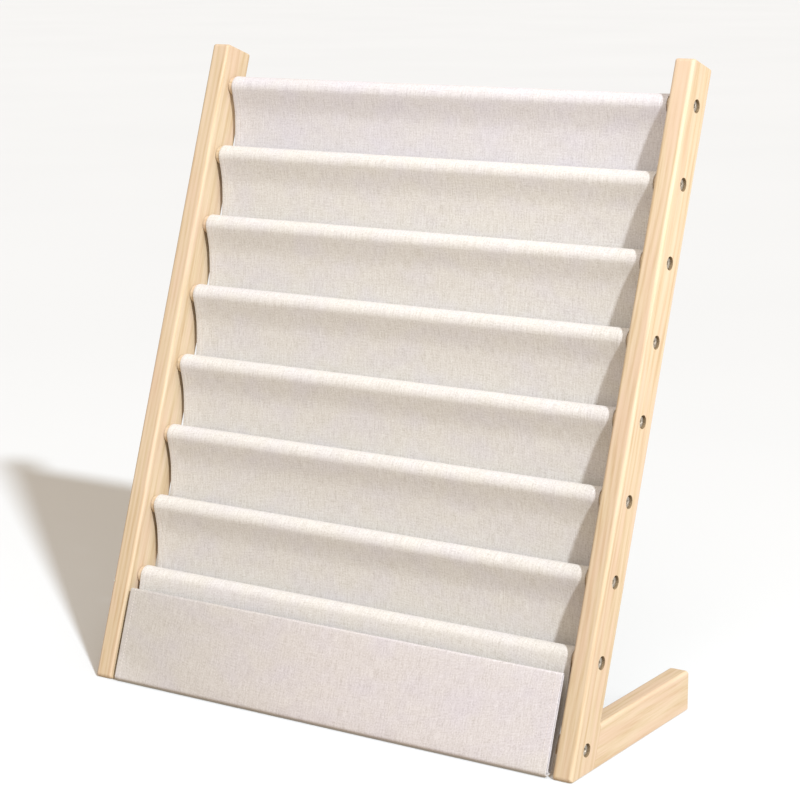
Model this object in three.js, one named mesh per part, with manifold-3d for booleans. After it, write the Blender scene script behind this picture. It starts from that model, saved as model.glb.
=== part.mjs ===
// A sling bookshelf for children's picture books, in millimetres: +Z up, +Y to the back, +X to the right.
// Two leaning side frames carry nine bolted rods. One strip of canvas runs over the rods and hangs
// between each two of them as a pocket. The lowest pocket has a stiffened front panel.
import * as THREE from "three";
import { mergeVertices } from "three/addons/utils/BufferGeometryUtils.js";
import Module from "manifold-3d";

// Side frames: planed pine, the same board for the leaning post and for the foot
const OVERALL_WIDTH = 600;
const BOARD_THICKNESS = 22;
const BOARD_WIDTH = 44;
const LEAN_ANGLE = THREE.MathUtils.degToRad(19);
const FOOT_LENGTH = 257;
const EASED_EDGE = 2.6;
const CORNER_ROUNDING = 4;
const POST_TOP_MARGIN = 43.5;

// Stub tenon that joins the foot to the post
const TENON_THICKNESS = 8;
const TENON_WIDTH = 26;
const TENON_LENGTH = 13;

// Rods
const ROD_DIAMETER = 20;
const ROD_PITCH = 80;
const CLOTH_ROD_COUNT = 8;
const BOTTOM_ROD_RISE = 34.5;
const BOTTOM_ROD_PITCH = 86;
const ROD_CHAMFER = 1;

// Connector bolts and the threaded inserts in the rod ends
const BOLT_DIAMETER = 6;
const BOLT_LENGTH = 35;
const BOLT_HEAD_DIAMETER = 12;
const BOLT_HEAD_HEIGHT = 3;
const BOLT_HEAD_CHAMFER = 0.8;
const BOLT_HEAD_SUNK = 2.4;
const HEX_KEY = 4;
const HEX_DEPTH = 2;
const COUNTERBORE_CLEARANCE = 0.7;
const INSERT_DIAMETER = 9.4;
const INSERT_LENGTH = 13;
const INSERT_CHAMFER = 0.6;
const INSERT_BORE_SPARE = 8;

// Canvas strip
const CANVAS_THICKNESS = 1;
const CANVAS_SIDE_GAP = 6;
const POCKET_GAP = 7;
const POCKET_DEPTH = 58;
const POCKET_BELLY = 15;
const POCKET_SAG = 3;
const WALL_BOW = 2.4;
const WALL_SWING_ANGLE = THREE.MathUtils.degToRad(14);
const FRONT_WALL_SWING_ANGLE = THREE.MathUtils.degToRad(10);
const HEM_WIDTH = 10;

// Front panel of the lowest pocket
const PANEL_PROUD = 2;
const PANEL_TOP = 104.5;
const PANEL_FLOOR_GAP = 2;
const STIFFENER_THICKNESS = 2;
const STIFFENER_SIDE_MARGIN = 3;
const PANEL_FOLD_RADIUS = 3;

// Clearance between pieces that touch, and how far a cutting body runs past what it cuts
const FIT_GAP = 0.3;
const CUT_OVERRUN = 2;

// Shares of a pocket's height or depth that shape the canvas, chosen by eye
const BOW_HEIGHT_SHARE = 0.48;
const BOW_PULL_SHARE = 0.32;
const BELLY_PULL_SHARE = 0.3;

// Counts of steps on rounded forms
const EASING_STEPS = 2;
const ROD_SIDES = 20;
const BOLT_SIDES = 14;
const INSERT_SIDES = 12;
const BORE_SIDES = 16;
const ARC_STEP_ANGLE = THREE.MathUtils.degToRad(18);
const WALL_STEPS = 5;
const SAG_STEPS = 4;
const HEX_SIDES = 6;

// Places that follow from the sizes
const INNER_WIDTH = OVERALL_WIDTH - 2 * BOARD_THICKNESS;
const CANVAS_WIDTH = INNER_WIDTH - 2 * CANVAS_SIDE_GAP;
const ROD_BACK = BOARD_WIDTH / 2;
const ROD_RADIUS = ROD_DIAMETER / 2;
const ROD_RISES = [BOTTOM_ROD_RISE];
for (let rod = 0; rod < CLOTH_ROD_COUNT; rod++) {
  ROD_RISES.unshift(BOTTOM_ROD_RISE + BOTTOM_ROD_PITCH + rod * ROD_PITCH);
}
const POST_LENGTH = ROD_RISES[0] + POST_TOP_MARGIN;
const WRAP_RADIUS = ROD_RADIUS + FIT_GAP + CANVAS_THICKNESS / 2;
const LEAVE_ANGLE = Math.PI + WALL_SWING_ANGLE;
const MEET_ANGLE = -FRONT_WALL_SWING_ANGLE;
const COUNTERBORE_DEPTH = BOLT_HEAD_SUNK + BOLT_HEAD_HEIGHT + FIT_GAP;
const JOINT_TOP = (BOARD_WIDTH * (1 + Math.sin(LEAN_ANGLE))) / Math.cos(LEAN_ANGLE);
const JOINT_FOOT = BOARD_WIDTH * Math.tan(LEAN_ANGLE);

// In side view a Vector2 holds the distance to the back and the height.
// The post has its own two directions there: along its front face from the floor, and back from that face.
function onPost(along, back) {
  return new THREE.Vector2(
    along * Math.sin(LEAN_ANGLE) + back * Math.cos(LEAN_ANGLE),
    along * Math.cos(LEAN_ANGLE) - back * Math.sin(LEAN_ANGLE),
  );
}

// The point of a circle at an angle measured from the back over the top.
function onCircle(centre, radius, angle) {
  return new THREE.Vector2(centre.x + radius * Math.cos(angle), centre.y + radius * Math.sin(angle));
}

// Points on an arc from one angle to another.
function arcPoints(centre, radius, from, to) {
  const steps = Math.max(1, Math.ceil(Math.abs(to - from) / ARC_STEP_ANGLE));
  const angleAt = (step) => from + ((to - from) * step) / steps;
  return Array.from({ length: steps + 1 }, (_, step) => onCircle(centre, radius, angleAt(step)));
}

// Several runs of points as one line. Each run after the first begins where the one before it ends.
function joinRuns(...runs) {
  return runs.flatMap((run, index) => (index === 0 ? run : run.slice(1)));
}

const wasm = await Module();
wasm.setup();

// A closed geometry as a manifold-3d solid.
function solidOf(geometry) {
  const bare = geometry.clone();
  bare.deleteAttribute("normal");
  bare.deleteAttribute("uv");
  const merged = mergeVertices(bare);
  return new wasm.Manifold(
    new wasm.Mesh({
      numProp: 3,
      vertProperties: merged.attributes.position.array,
      triVerts: new Uint32Array(merged.index.array),
    }),
  );
}

// A manifold-3d solid as a geometry with flat faces.
function geometryOf(solid) {
  const mesh = solid.getMesh();
  const shared = new THREE.BufferGeometry();
  shared.setAttribute("position", new THREE.BufferAttribute(mesh.vertProperties, 3));
  shared.setIndex(new THREE.BufferAttribute(mesh.triVerts, 1));
  const flat = shared.toNonIndexed();
  flat.computeVertexNormals();
  return flat;
}

// Turns a side view extruded along its normal into the part's frame: across is X, back is Y, up is Z.
const SIDE_VIEW = new THREE.Matrix4().makeBasis(
  new THREE.Vector3(0, 1, 0),
  new THREE.Vector3(0, 0, 1),
  new THREE.Vector3(1, 0, 0),
);

// A side-view shape extruded across the part and centred on X = 0, with its edges eased where asked.
function extrudeAcross(shape, width, easing) {
  const geometry = new THREE.ExtrudeGeometry(shape, {
    depth: width - 2 * easing,
    bevelEnabled: easing > 0,
    bevelThickness: easing,
    bevelSize: easing,
    bevelOffset: -easing,
    bevelSegments: EASING_STEPS,
  });
  return geometry.translate(0, 0, easing - width / 2).applyMatrix4(SIDE_VIEW);
}

// A turned piece on the X axis. Each point of the profile is a radius and a place along X.
function turnedAcross(profile, sides) {
  const points = profile.map(([radius, place]) => new THREE.Vector2(radius, place));
  return new THREE.LatheGeometry(points, sides).rotateZ(-Math.PI / 2);
}

// A drill along X between two places, at a point of the side view.
function drillAcross(radius, oneEnd, otherEnd, centre) {
  const from = Math.min(oneEnd, otherEnd);
  const to = Math.max(oneEnd, otherEnd);
  const profile = [[0, from], [radius, from], [radius, to], [0, to]];
  return solidOf(turnedAcross(profile, BORE_SIDES).translate(0, centre.x, centre.y));
}

// The points that round one corner of a line by a radius. A radius of 0 leaves it sharp.
function roundedCorner(before, at, after, radius) {
  if (radius === 0) return [at];
  const from = before.clone().sub(at).normalize();
  const to = after.clone().sub(at).normalize();
  const half = from.angleTo(to) / 2;
  const centre = at.clone().addScaledVector(from.clone().add(to).normalize(), radius / Math.sin(half));
  const start = at.clone().addScaledVector(from, radius / Math.tan(half)).sub(centre);
  const turn = (Math.PI - 2 * half) * Math.sign(to.cross(from));
  return arcPoints(centre, radius, start.angle(), start.angle() + turn);
}

// A closed outline whose corners are rounded, each by its own radius.
function roundedOutline(corners) {
  const points = corners.flatMap(({ at, radius }, index) => {
    const before = corners[(index + corners.length - 1) % corners.length].at;
    const after = corners[(index + 1) % corners.length].at;
    return roundedCorner(before, at, after, radius);
  });
  return new THREE.Shape(points);
}

// Side view of a whole side frame: the leaning post and the foot that runs back from it.
function sideFrameOutline() {
  const innerCorner = onPost(JOINT_TOP, BOARD_WIDTH);
  return roundedOutline([
    { at: new THREE.Vector2(0, 0), radius: CORNER_ROUNDING },
    { at: new THREE.Vector2(FOOT_LENGTH, 0), radius: CORNER_ROUNDING },
    { at: new THREE.Vector2(FOOT_LENGTH, BOARD_WIDTH), radius: CORNER_ROUNDING },
    { at: innerCorner, radius: 0 },
    { at: onPost(POST_LENGTH, BOARD_WIDTH), radius: CORNER_ROUNDING },
    { at: onPost(POST_LENGTH, 0), radius: CORNER_ROUNDING },
  ]);
}

// Everything behind the post's rear face, as high as the foot.
function footZone(gap) {
  const reach = FOOT_LENGTH + CUT_OVERRUN;
  const low = onPost(JOINT_FOOT - CUT_OVERRUN, BOARD_WIDTH + gap);
  const high = onPost(JOINT_TOP + CUT_OVERRUN, BOARD_WIDTH + gap);
  const shape = new THREE.Shape([
    low,
    new THREE.Vector2(reach, low.y),
    new THREE.Vector2(reach, high.y),
    high,
  ]);
  return solidOf(extrudeAcross(shape, BOARD_THICKNESS + CUT_OVERRUN, 0));
}

// The tenon on the foot, or with a clearance the mortise in the post.
function tenon(clearance, root) {
  const middle = (JOINT_FOOT + JOINT_TOP) / 2;
  const low = middle - TENON_WIDTH / 2 - clearance;
  const high = middle + TENON_WIDTH / 2 + clearance;
  const end = BOARD_WIDTH - TENON_LENGTH - clearance;
  const shape = new THREE.Shape([
    onPost(low, end),
    onPost(low, root),
    onPost(high, root),
    onPost(high, end),
  ]);
  return solidOf(extrudeAcross(shape, TENON_THICKNESS + 2 * clearance, 0));
}

// A post with its mortise and with a counterbored hole for each bolt. side is 1 right, -1 left.
function postGeometry(side) {
  const frame = solidOf(extrudeAcross(sideFrameOutline(), BOARD_THICKNESS, EASED_EDGE));
  let post = frame.subtract(footZone(0)).subtract(tenon(FIT_GAP, BOARD_WIDTH + CUT_OVERRUN));
  const inside = -side * (BOARD_THICKNESS / 2 + CUT_OVERRUN);
  const outside = side * (BOARD_THICKNESS / 2 + CUT_OVERRUN);
  const seat = side * (BOARD_THICKNESS / 2 - COUNTERBORE_DEPTH);
  for (const rise of ROD_RISES) {
    const centre = onPost(rise, ROD_BACK);
    const bore = BOLT_DIAMETER / 2 + FIT_GAP;
    const counterbore = BOLT_HEAD_DIAMETER / 2 + COUNTERBORE_CLEARANCE;
    post = post.subtract(drillAcross(bore, inside, outside, centre));
    post = post.subtract(drillAcross(counterbore, seat, outside, centre));
  }
  return geometryOf(post);
}

// A foot with the tenon on its slanted front end.
function footGeometry() {
  const frame = solidOf(extrudeAcross(sideFrameOutline(), BOARD_THICKNESS, EASED_EDGE));
  return geometryOf(frame.intersect(footZone(FIT_GAP)).add(tenon(0, BOARD_WIDTH + CUT_OVERRUN)));
}

// A rod between the posts, bored at both ends for its inserts.
function rodGeometry() {
  const half = INNER_WIDTH / 2 - FIT_GAP;
  const bore = INSERT_DIAMETER / 2 + FIT_GAP;
  const depth = INSERT_LENGTH + INSERT_BORE_SPARE;
  const profile = [
    [0, depth - half],
    [bore, depth - half],
    [bore, -half],
    [ROD_RADIUS - ROD_CHAMFER, -half],
    [ROD_RADIUS, ROD_CHAMFER - half],
    [ROD_RADIUS, half - ROD_CHAMFER],
    [ROD_RADIUS - ROD_CHAMFER, half],
    [bore, half],
    [bore, half - depth],
    [0, half - depth],
  ];
  return turnedAcross(profile, ROD_SIDES);
}

// A threaded insert. It starts at X = 0, the rod's end, and runs inwards from there.
function insertGeometry() {
  const bore = BOLT_DIAMETER / 2 + FIT_GAP;
  const outer = INSERT_DIAMETER / 2;
  const profile = [
    [bore, -INSERT_LENGTH],
    [outer - INSERT_CHAMFER, -INSERT_LENGTH],
    [outer, INSERT_CHAMFER - INSERT_LENGTH],
    [outer, 0],
    [bore, 0],
    [bore, -INSERT_LENGTH],
  ];
  return turnedAcross(profile, INSERT_SIDES);
}

// A connector bolt with a hexagon socket. Its head's underside is at X = 0 and its shank runs inwards.
function boltGeometry() {
  const shank = BOLT_DIAMETER / 2;
  const head = BOLT_HEAD_DIAMETER / 2;
  const body = turnedAcross(
    [
      [0, -BOLT_LENGTH],
      [shank, -BOLT_LENGTH],
      [shank, 0],
      [head, 0],
      [head, BOLT_HEAD_HEIGHT - BOLT_HEAD_CHAMFER],
      [head - BOLT_HEAD_CHAMFER, BOLT_HEAD_HEIGHT],
      [0, BOLT_HEAD_HEIGHT],
    ],
    BOLT_SIDES,
  );
  const hexRadius = HEX_KEY / 2 / Math.cos(Math.PI / HEX_SIDES);
  const floor = BOLT_HEAD_HEIGHT - HEX_DEPTH;
  const top = BOLT_HEAD_HEIGHT + CUT_OVERRUN;
  const socket = turnedAcross([[0, floor], [hexRadius, floor], [hexRadius, top], [0, top]], HEX_SIDES);
  return geometryOf(solidOf(body).subtract(solidOf(socket)));
}

// The middle line of a hanging stretch of canvas, from its beginning on the rear rod, down the rear wall,
// round the belly and up behind the rod in front of it.
function slingLine(rear, front, beginning, sag) {
  const overRear = arcPoints(rear, WRAP_RADIUS, beginning, LEAVE_ANGLE);
  const leave = overRear[overRear.length - 1];
  const meet = onCircle(front, WRAP_RADIUS, MEET_ANGLE);
  const rearWall = front.x + WRAP_RADIUS + POCKET_GAP + CANVAS_THICKNESS;
  const height = leave.y - front.y;
  const pull = height * BOW_PULL_SHARE;
  const bow = new THREE.Vector2(rearWall + WALL_BOW, front.y + height * BOW_HEIGHT_SHARE);
  const beside = new THREE.Vector2(rearWall, front.y);
  const bellyRadius = POCKET_BELLY / 2;
  const bellyCentre = new THREE.Vector2((meet.x + rearWall) / 2, front.y - POCKET_DEPTH - sag + bellyRadius);
  const belly = arcPoints(bellyCentre, bellyRadius, 0, -Math.PI);
  const bellyFront = belly[belly.length - 1];
  const reach = POCKET_DEPTH * BELLY_PULL_SHARE;
  const upperWall = new THREE.CubicBezierCurve(
    leave,
    leave.clone().addScaledVector(wallDirection(), pull),
    new THREE.Vector2(bow.x, bow.y + pull / 2),
    bow,
  );
  const lowerWall = new THREE.CubicBezierCurve(
    bow,
    new THREE.Vector2(bow.x, bow.y - pull / 2),
    new THREE.Vector2(beside.x, beside.y + pull / 2),
    beside,
  );
  const bellyFall = new THREE.CubicBezierCurve(
    beside,
    new THREE.Vector2(beside.x, beside.y - reach),
    new THREE.Vector2(belly[0].x, belly[0].y + reach),
    belly[0],
  );
  const bellyRise = new THREE.CubicBezierCurve(
    bellyFront,
    new THREE.Vector2(bellyFront.x, bellyFront.y + reach),
    new THREE.Vector2(meet.x + reach * Math.sin(MEET_ANGLE), meet.y - reach * Math.cos(MEET_ANGLE)),
    meet,
  );
  return joinRuns(
    overRear,
    upperWall.getPoints(WALL_STEPS),
    lowerWall.getPoints(WALL_STEPS),
    bellyFall.getPoints(WALL_STEPS),
    belly,
    bellyRise.getPoints(WALL_STEPS),
  );
}

// The direction in which a rear wall leaves its rod, down and to the back.
function wallDirection() {
  return new THREE.Vector2(Math.sin(WALL_SWING_ANGLE), -Math.cos(WALL_SWING_ANGLE));
}

// The hem that closes the sleeve of the top rod. It lies flat behind the rear wall and leads to the rod's
// underside, where the sleeve begins.
function topHem(rod) {
  const inset = WRAP_RADIUS - CANVAS_THICKNESS - FIT_GAP;
  const swing = Math.acos(inset / WRAP_RADIUS);
  const sleeveStart = LEAVE_ANGLE + swing - 2 * Math.PI;
  const corner = onCircle(rod, WRAP_RADIUS, sleeveStart);
  return { sleeveStart, end: corner.addScaledVector(wallDirection(), HEM_WIDTH) };
}

// The middle line of the canvas of the lowest pocket: from behind the lowest cloth rod over it and straight
// down in front of the bottom rod, forward over the floor, up the front panel and over the stiffener's top.
function frontPocketLine() {
  const rod = onPost(ROD_RISES[CLOTH_ROD_COUNT - 1], ROD_BACK);
  const wallBack = ROD_BACK - WRAP_RADIUS;
  const panelBack = CANVAS_THICKNESS / 2 - PANEL_PROUD;
  const hemBack = panelBack + STIFFENER_THICKNESS + CANVAS_THICKNESS + 2 * FIT_GAP;
  const top = PANEL_TOP - CANVAS_THICKNESS / 2;
  const floorLevel = PANEL_FLOOR_GAP + CANVAS_THICKNESS / 2;
  const overRod = arcPoints(rod, WRAP_RADIUS, MEET_ANGLE + FIT_GAP / WRAP_RADIUS, Math.PI - LEAN_ANGLE);
  const corners = [
    overRod[overRod.length - 1],
    onPost(alongAtHeight(floorLevel, wallBack), wallBack),
    onPost(alongAtHeight(floorLevel, panelBack), panelBack),
    onPost(top, panelBack),
    onPost(top, hemBack),
    onPost(stiffenerLow(), hemBack),
  ];
  const radii = [PANEL_FOLD_RADIUS, PANEL_FOLD_RADIUS, (hemBack - panelBack) / 2, (hemBack - panelBack) / 2];
  const turns = radii.map((radius, index) => {
    return roundedCorner(corners[index], corners[index + 1], corners[index + 2], radius);
  });
  return [...overRod, ...turns.flat(), corners[corners.length - 1]];
}

// How far along the post a level above the floor is reached, at a distance back from the front face.
function alongAtHeight(level, back) {
  return (level + back * Math.sin(LEAN_ANGLE)) / Math.cos(LEAN_ANGLE);
}

// Where the stiffener's lower edge stands, just above the rounded fold of the front panel.
function stiffenerLow() {
  const foldBack = CANVAS_THICKNESS / 2 - PANEL_PROUD + PANEL_FOLD_RADIUS;
  return alongAtHeight(PANEL_FLOOR_GAP + CANVAS_THICKNESS / 2 + PANEL_FOLD_RADIUS, foldBack) + FIT_GAP;
}

// A strip of canvas of even thickness along middle lines that lie side by side across the part.
function canvasGeometry(lines, width) {
  const positions = [];
  const ring = lines[0].length;
  lines.forEach((line, station) => {
    const across = -width / 2 + (width * station) / (lines.length - 1);
    line.forEach((point, index) => {
      const before = line[Math.max(index - 1, 0)];
      const after = line[Math.min(index + 1, ring - 1)];
      const direction = after.clone().sub(before).normalize();
      for (const face of [1, -1]) {
        const shift = (face * CANVAS_THICKNESS) / 2;
        positions.push(across, point.x + direction.y * shift, point.y - direction.x * shift);
      }
    });
  });
  const at = (station, index, face) => (station * ring + index) * 2 + face;
  const triangles = [];
  const quad = (a, b, c, d) => triangles.push(a, b, c, a, c, d);
  const last = lines.length - 1;
  for (let index = 0; index < ring - 1; index++) {
    for (let station = 0; station < last; station++) {
      const next = station + 1;
      quad(at(station, index, 0), at(station, index + 1, 0), at(next, index + 1, 0), at(next, index, 0));
      quad(at(station, index, 1), at(next, index, 1), at(next, index + 1, 1), at(station, index + 1, 1));
    }
    quad(at(0, index, 0), at(0, index, 1), at(0, index + 1, 1), at(0, index + 1, 0));
    quad(at(last, index, 0), at(last, index + 1, 0), at(last, index + 1, 1), at(last, index, 1));
  }
  for (let station = 0; station < last; station++) {
    const next = station + 1;
    const end = ring - 1;
    quad(at(station, 0, 0), at(next, 0, 0), at(next, 0, 1), at(station, 0, 1));
    quad(at(station, end, 0), at(station, end, 1), at(next, end, 1), at(next, end, 0));
  }
  const geometry = new THREE.BufferGeometry();
  geometry.setAttribute("position", new THREE.Float32BufferAttribute(positions, 3));
  geometry.setIndex(triangles);
  const flat = geometry.toNonIndexed();
  flat.computeVertexNormals();
  return flat;
}

// A hanging pocket. Its belly hangs a little lower in the middle of its width than at the sides.
// The top one begins with the hem and sleeve of the top rod.
function slingGeometry(number) {
  const rear = onPost(ROD_RISES[number - 1], ROD_BACK);
  const front = onPost(ROD_RISES[number], ROD_BACK);
  const hem = number === 1 ? topHem(rear) : null;
  const beginning = hem ? hem.sleeveStart : MEET_ANGLE + FIT_GAP / WRAP_RADIUS;
  const lines = [];
  for (let step = 0; step <= SAG_STEPS; step++) {
    const fromMiddle = (2 * step) / SAG_STEPS - 1;
    const line = slingLine(rear, front, beginning, POCKET_SAG * (1 - fromMiddle * fromMiddle));
    lines.push(hem ? [hem.end, ...line] : line);
  }
  return canvasGeometry(lines, CANVAS_WIDTH);
}

// The stiff board inside the front panel.
function stiffenerGeometry() {
  const front = CANVAS_THICKNESS - PANEL_PROUD + FIT_GAP;
  const back = front + STIFFENER_THICKNESS;
  const low = stiffenerLow();
  const high = PANEL_TOP - CANVAS_THICKNESS - STIFFENER_THICKNESS / 2;
  const shape = new THREE.Shape([
    onPost(low, front),
    onPost(low, back),
    onPost(high, back),
    onPost(high, front),
  ]);
  return extrudeAcross(shape, CANVAS_WIDTH - 2 * STIFFENER_SIDE_MARGIN, 0);
}

function pine() {
  return new THREE.MeshStandardMaterial({ color: "#ecd2ab", roughness: 0.55, metalness: 0 });
}

function canvas() {
  return new THREE.MeshStandardMaterial({ color: "#ddd5cb", roughness: 0.95, metalness: 0 });
}

function zincedSteel() {
  return new THREE.MeshStandardMaterial({ color: "#b9b6ae", roughness: 0.35, metalness: 1 });
}

function hardboard() {
  return new THREE.MeshStandardMaterial({ color: "#8a6a4a", roughness: 0.8, metalness: 0 });
}

// A named mesh at a place in the part.
function piece(name, geometry, material, x, y, z) {
  const mesh = new THREE.Mesh(geometry, material);
  mesh.name = name;
  mesh.position.set(x, y, z);
  return mesh;
}

// One side frame: its post, its foot and its nine bolts with their inserts. side is 1 right, -1 left.
function sideFrame(sideName, side) {
  const group = new THREE.Group();
  const middle = side * (OVERALL_WIDTH / 2 - BOARD_THICKNESS / 2);
  group.add(piece(`${sideName}_post`, postGeometry(side), pine(), middle, 0, 0));
  group.add(piece(`${sideName}_foot`, footGeometry(), pine(), middle, 0, 0));
  const headSeat = OVERALL_WIDTH / 2 - COUNTERBORE_DEPTH + FIT_GAP;
  const rodEnd = INNER_WIDTH / 2 - FIT_GAP;
  ROD_RISES.forEach((rise, index) => {
    const centre = onPost(rise, ROD_BACK);
    const fixing = new THREE.Group();
    fixing.position.set(0, centre.x, centre.y);
    fixing.rotation.z = side > 0 ? 0 : Math.PI;
    fixing.add(piece(`${sideName}_bolt_${index + 1}`, boltGeometry(), zincedSteel(), headSeat, 0, 0));
    fixing.add(piece(`${sideName}_insert_${index + 1}`, insertGeometry(), zincedSteel(), rodEnd, 0, 0));
    group.add(fixing);
  });
  return group;
}

// The rods: eight that carry the canvas, from the top down, and the bottom rod.
function rods() {
  const group = new THREE.Group();
  ROD_RISES.forEach((rise, index) => {
    const centre = onPost(rise, ROD_BACK);
    const name = index < CLOTH_ROD_COUNT ? `rod_${index + 1}` : "bottom_rod";
    group.add(piece(name, rodGeometry(), pine(), 0, centre.x, centre.y));
  });
  return group;
}

// The canvas, parted behind each rod, and the stiffener of its front panel.
function canvasStrip() {
  const group = new THREE.Group();
  for (let number = 1; number < CLOTH_ROD_COUNT; number++) {
    group.add(piece(`sling_${number}`, slingGeometry(number), canvas(), 0, 0, 0));
  }
  const line = frontPocketLine();
  group.add(piece("front_pocket", canvasGeometry([line, line], CANVAS_WIDTH), canvas(), 0, 0, 0));
  group.add(piece("front_stiffener", stiffenerGeometry(), hardboard(), 0, 0, 0));
  return group;
}

// The whole bookshelf, with the middle of its bounding box over the origin.
function bookshelf() {
  const assembly = new THREE.Group();
  assembly.add(sideFrame("left", -1), sideFrame("right", 1), rods(), canvasStrip());
  const box = new THREE.Box3().setFromObject(assembly, true);
  assembly.position.y = -(box.min.y + box.max.y) / 2;
  const whole = new THREE.Group();
  whole.add(assembly);
  return whole;
}

export default bookshelf();
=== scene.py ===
"""A sling bookshelf for children's picture books, dressed and lit for the studio.

Two leaning side frames of planed pine carry nine turned rods. One strip of linen canvas runs over eight of
them and hangs between each two as a pocket. The lowest pocket has a stiffened front panel. All sizes are in
metres. In side view a point is (distance to the back, height).
"""

import logging
import math
from collections.abc import Iterable, Sequence
from dataclasses import dataclass, field
from enum import Enum
from functools import cached_property

import bmesh
import bpy
from mathutils import Euler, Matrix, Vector


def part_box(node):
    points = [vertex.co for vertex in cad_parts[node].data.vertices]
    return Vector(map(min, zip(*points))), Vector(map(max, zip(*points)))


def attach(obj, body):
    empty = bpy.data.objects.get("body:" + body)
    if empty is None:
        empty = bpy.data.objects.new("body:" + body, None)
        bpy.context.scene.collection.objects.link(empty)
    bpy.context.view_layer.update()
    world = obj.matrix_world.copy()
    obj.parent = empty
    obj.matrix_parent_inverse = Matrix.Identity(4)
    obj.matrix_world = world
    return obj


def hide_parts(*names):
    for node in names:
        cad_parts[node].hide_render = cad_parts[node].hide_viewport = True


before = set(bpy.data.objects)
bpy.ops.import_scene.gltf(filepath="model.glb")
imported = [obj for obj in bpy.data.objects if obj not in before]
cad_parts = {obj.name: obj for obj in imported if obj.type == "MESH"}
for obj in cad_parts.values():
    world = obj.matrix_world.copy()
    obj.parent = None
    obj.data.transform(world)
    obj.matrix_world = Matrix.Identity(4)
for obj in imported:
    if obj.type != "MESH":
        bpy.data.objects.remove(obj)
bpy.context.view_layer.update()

LOG = logging.getLogger("sling_bookshelf")
MM = 0.001
BODY = "root"
QUARTER_TURN = math.radians(90)
# Edges sharper than this many degrees stay crisp, on wood and steel and on cloth.
HARD_CREASE, CLOTH_CREASE = 30, 50
# Points nearer than this are one point.
WELD = 1e-7
# A span that is only longer than asked by a rounding error isn't cut in two.
ROUNDING_ERROR = 1e-6
# How far the wave texture turns in one unit of its scaled place.
WAVE_RADIANS = 20
# The value that a noise texture swings about.
NOISE_MIDDLE = 0.5
# The inputs of a node that stretches one range over another, in order.
SPAN = ("Value", "From Min", "From Max", "To Min", "To Max")

Tree = bpy.types.NodeTree
Socket = bpy.types.NodeSocket
Piece = bpy.types.Object
Material = bpy.types.Material
Faces = list[tuple[int, ...]]
Pair = tuple[float, float]
Triple = tuple[float, float, float]
# Two values of a pattern, and the two that they become.
Range = tuple[float, float, float, float]


class GrainRun(Enum):
    """Which way the grain of a wooden piece runs, as the turn that lays it along X."""

    ALONG_ROD = (0.0, 0.0)
    ALONG_FOOT = (0.0, -90.0)
    UP_THE_POST = (-71.0, -90.0)


class Side(Enum):
    """The two side frames, by the sign of their place across the shelf."""

    LEFT = -1
    RIGHT = 1

    @property
    def word(self) -> str:
        """The word that begins the names of this side's pieces."""
        return self.name.lower()


def linear(hex_colour: str) -> tuple[float, float, float, float]:
    """Turns an sRGB hex colour into the linear one that a shader takes.

    Args:
        hex_colour: six hex digits after a #.

    Returns:
        Red, green, blue and alpha, from 0 to 1.
    """
    parts = [int(hex_colour[at : at + 2], 16) / 255 for at in (1, 3, 5)]
    lit = [c / 12.92 if c <= 0.04045 else ((c + 0.055) / 1.055) ** 2.4 for c in parts]
    return (*lit, 1.0)


def add_node(
    tree: Tree,
    kind: str,
    feeds: dict[str | int, object] | None = None,
    out: str | int = 0,
    ramp: Iterable[tuple[float, str]] = (),
    **settings: object,
) -> Socket | None:
    """Adds a node with its settings and links.

    Args:
        tree: the tree that takes the node.
        kind: the node's type.
        feeds: what goes into its inputs: a socket to link, or a value to set.
        out: which of its outputs is wanted.
        ramp: for a colour ramp, its stops as places and sRGB hex colours.
        settings: the node's own properties.

    Returns:
        The wanted output, or None from a node that ends a tree.
    """
    node = tree.nodes.new(kind)
    for name, value in settings.items():
        setattr(node, name, value)
    for k, (place, colour) in enumerate(ramp):
        stops = node.color_ramp.elements
        stop = stops[k] if k < len(stops) else stops.new(1.0)
        stop.position, stop.color = place, linear(colour)
    for key, value in (feeds or {}).items():
        if isinstance(value, Socket):
            tree.links.new(value, node.inputs[key])
        else:
            node.inputs[key].default_value = value
    return node.outputs[out] if node.outputs else None


@dataclass(frozen=True)
class Cells:
    """The cells of a cloudy pattern: their size along X, Y and Z, and how many finer layers they hold."""

    size: Triple
    layers: float = 2.0

    def noise(self, tree: Tree, place: Socket, out: str = "Fac") -> Socket:
        """Adds the pattern to a material.

        Args:
            tree: the material's tree.
            place: the place on the piece.
            out: which output of the noise is wanted.

        Returns:
            The pattern, from 0 to 1.
        """
        per_metre = [1 / side for side in self.size]
        spread = add_node(tree, "ShaderNodeVectorMath", {0: place, 1: per_metre}, operation="MULTIPLY")
        feeds = {"Vector": spread, "Scale": 1.0, "Detail": self.layers}
        return add_node(tree, "ShaderNodeTexNoise", feeds, out)


@dataclass(frozen=True)
class Finish:
    """A surface finish. Each kind says what goes into its shader."""

    title: str

    def looks(self, tree: Tree) -> dict[str, object]:
        """What goes into the shader's inputs: sockets of the tree to link, and plain values to set."""
        raise NotImplementedError

    def material(self) -> Material:
        """Builds the material, which bears the finish's title.

        Returns:
            The material.
        """
        made = bpy.data.materials.new(self.title)
        made.use_nodes = True
        made.node_tree.nodes.clear()
        shader = add_node(made.node_tree, "ShaderNodeBsdfPrincipled", self.looks(made.node_tree))
        add_node(made.node_tree, "ShaderNodeOutputMaterial", {"Surface": shader})
        return made


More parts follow.
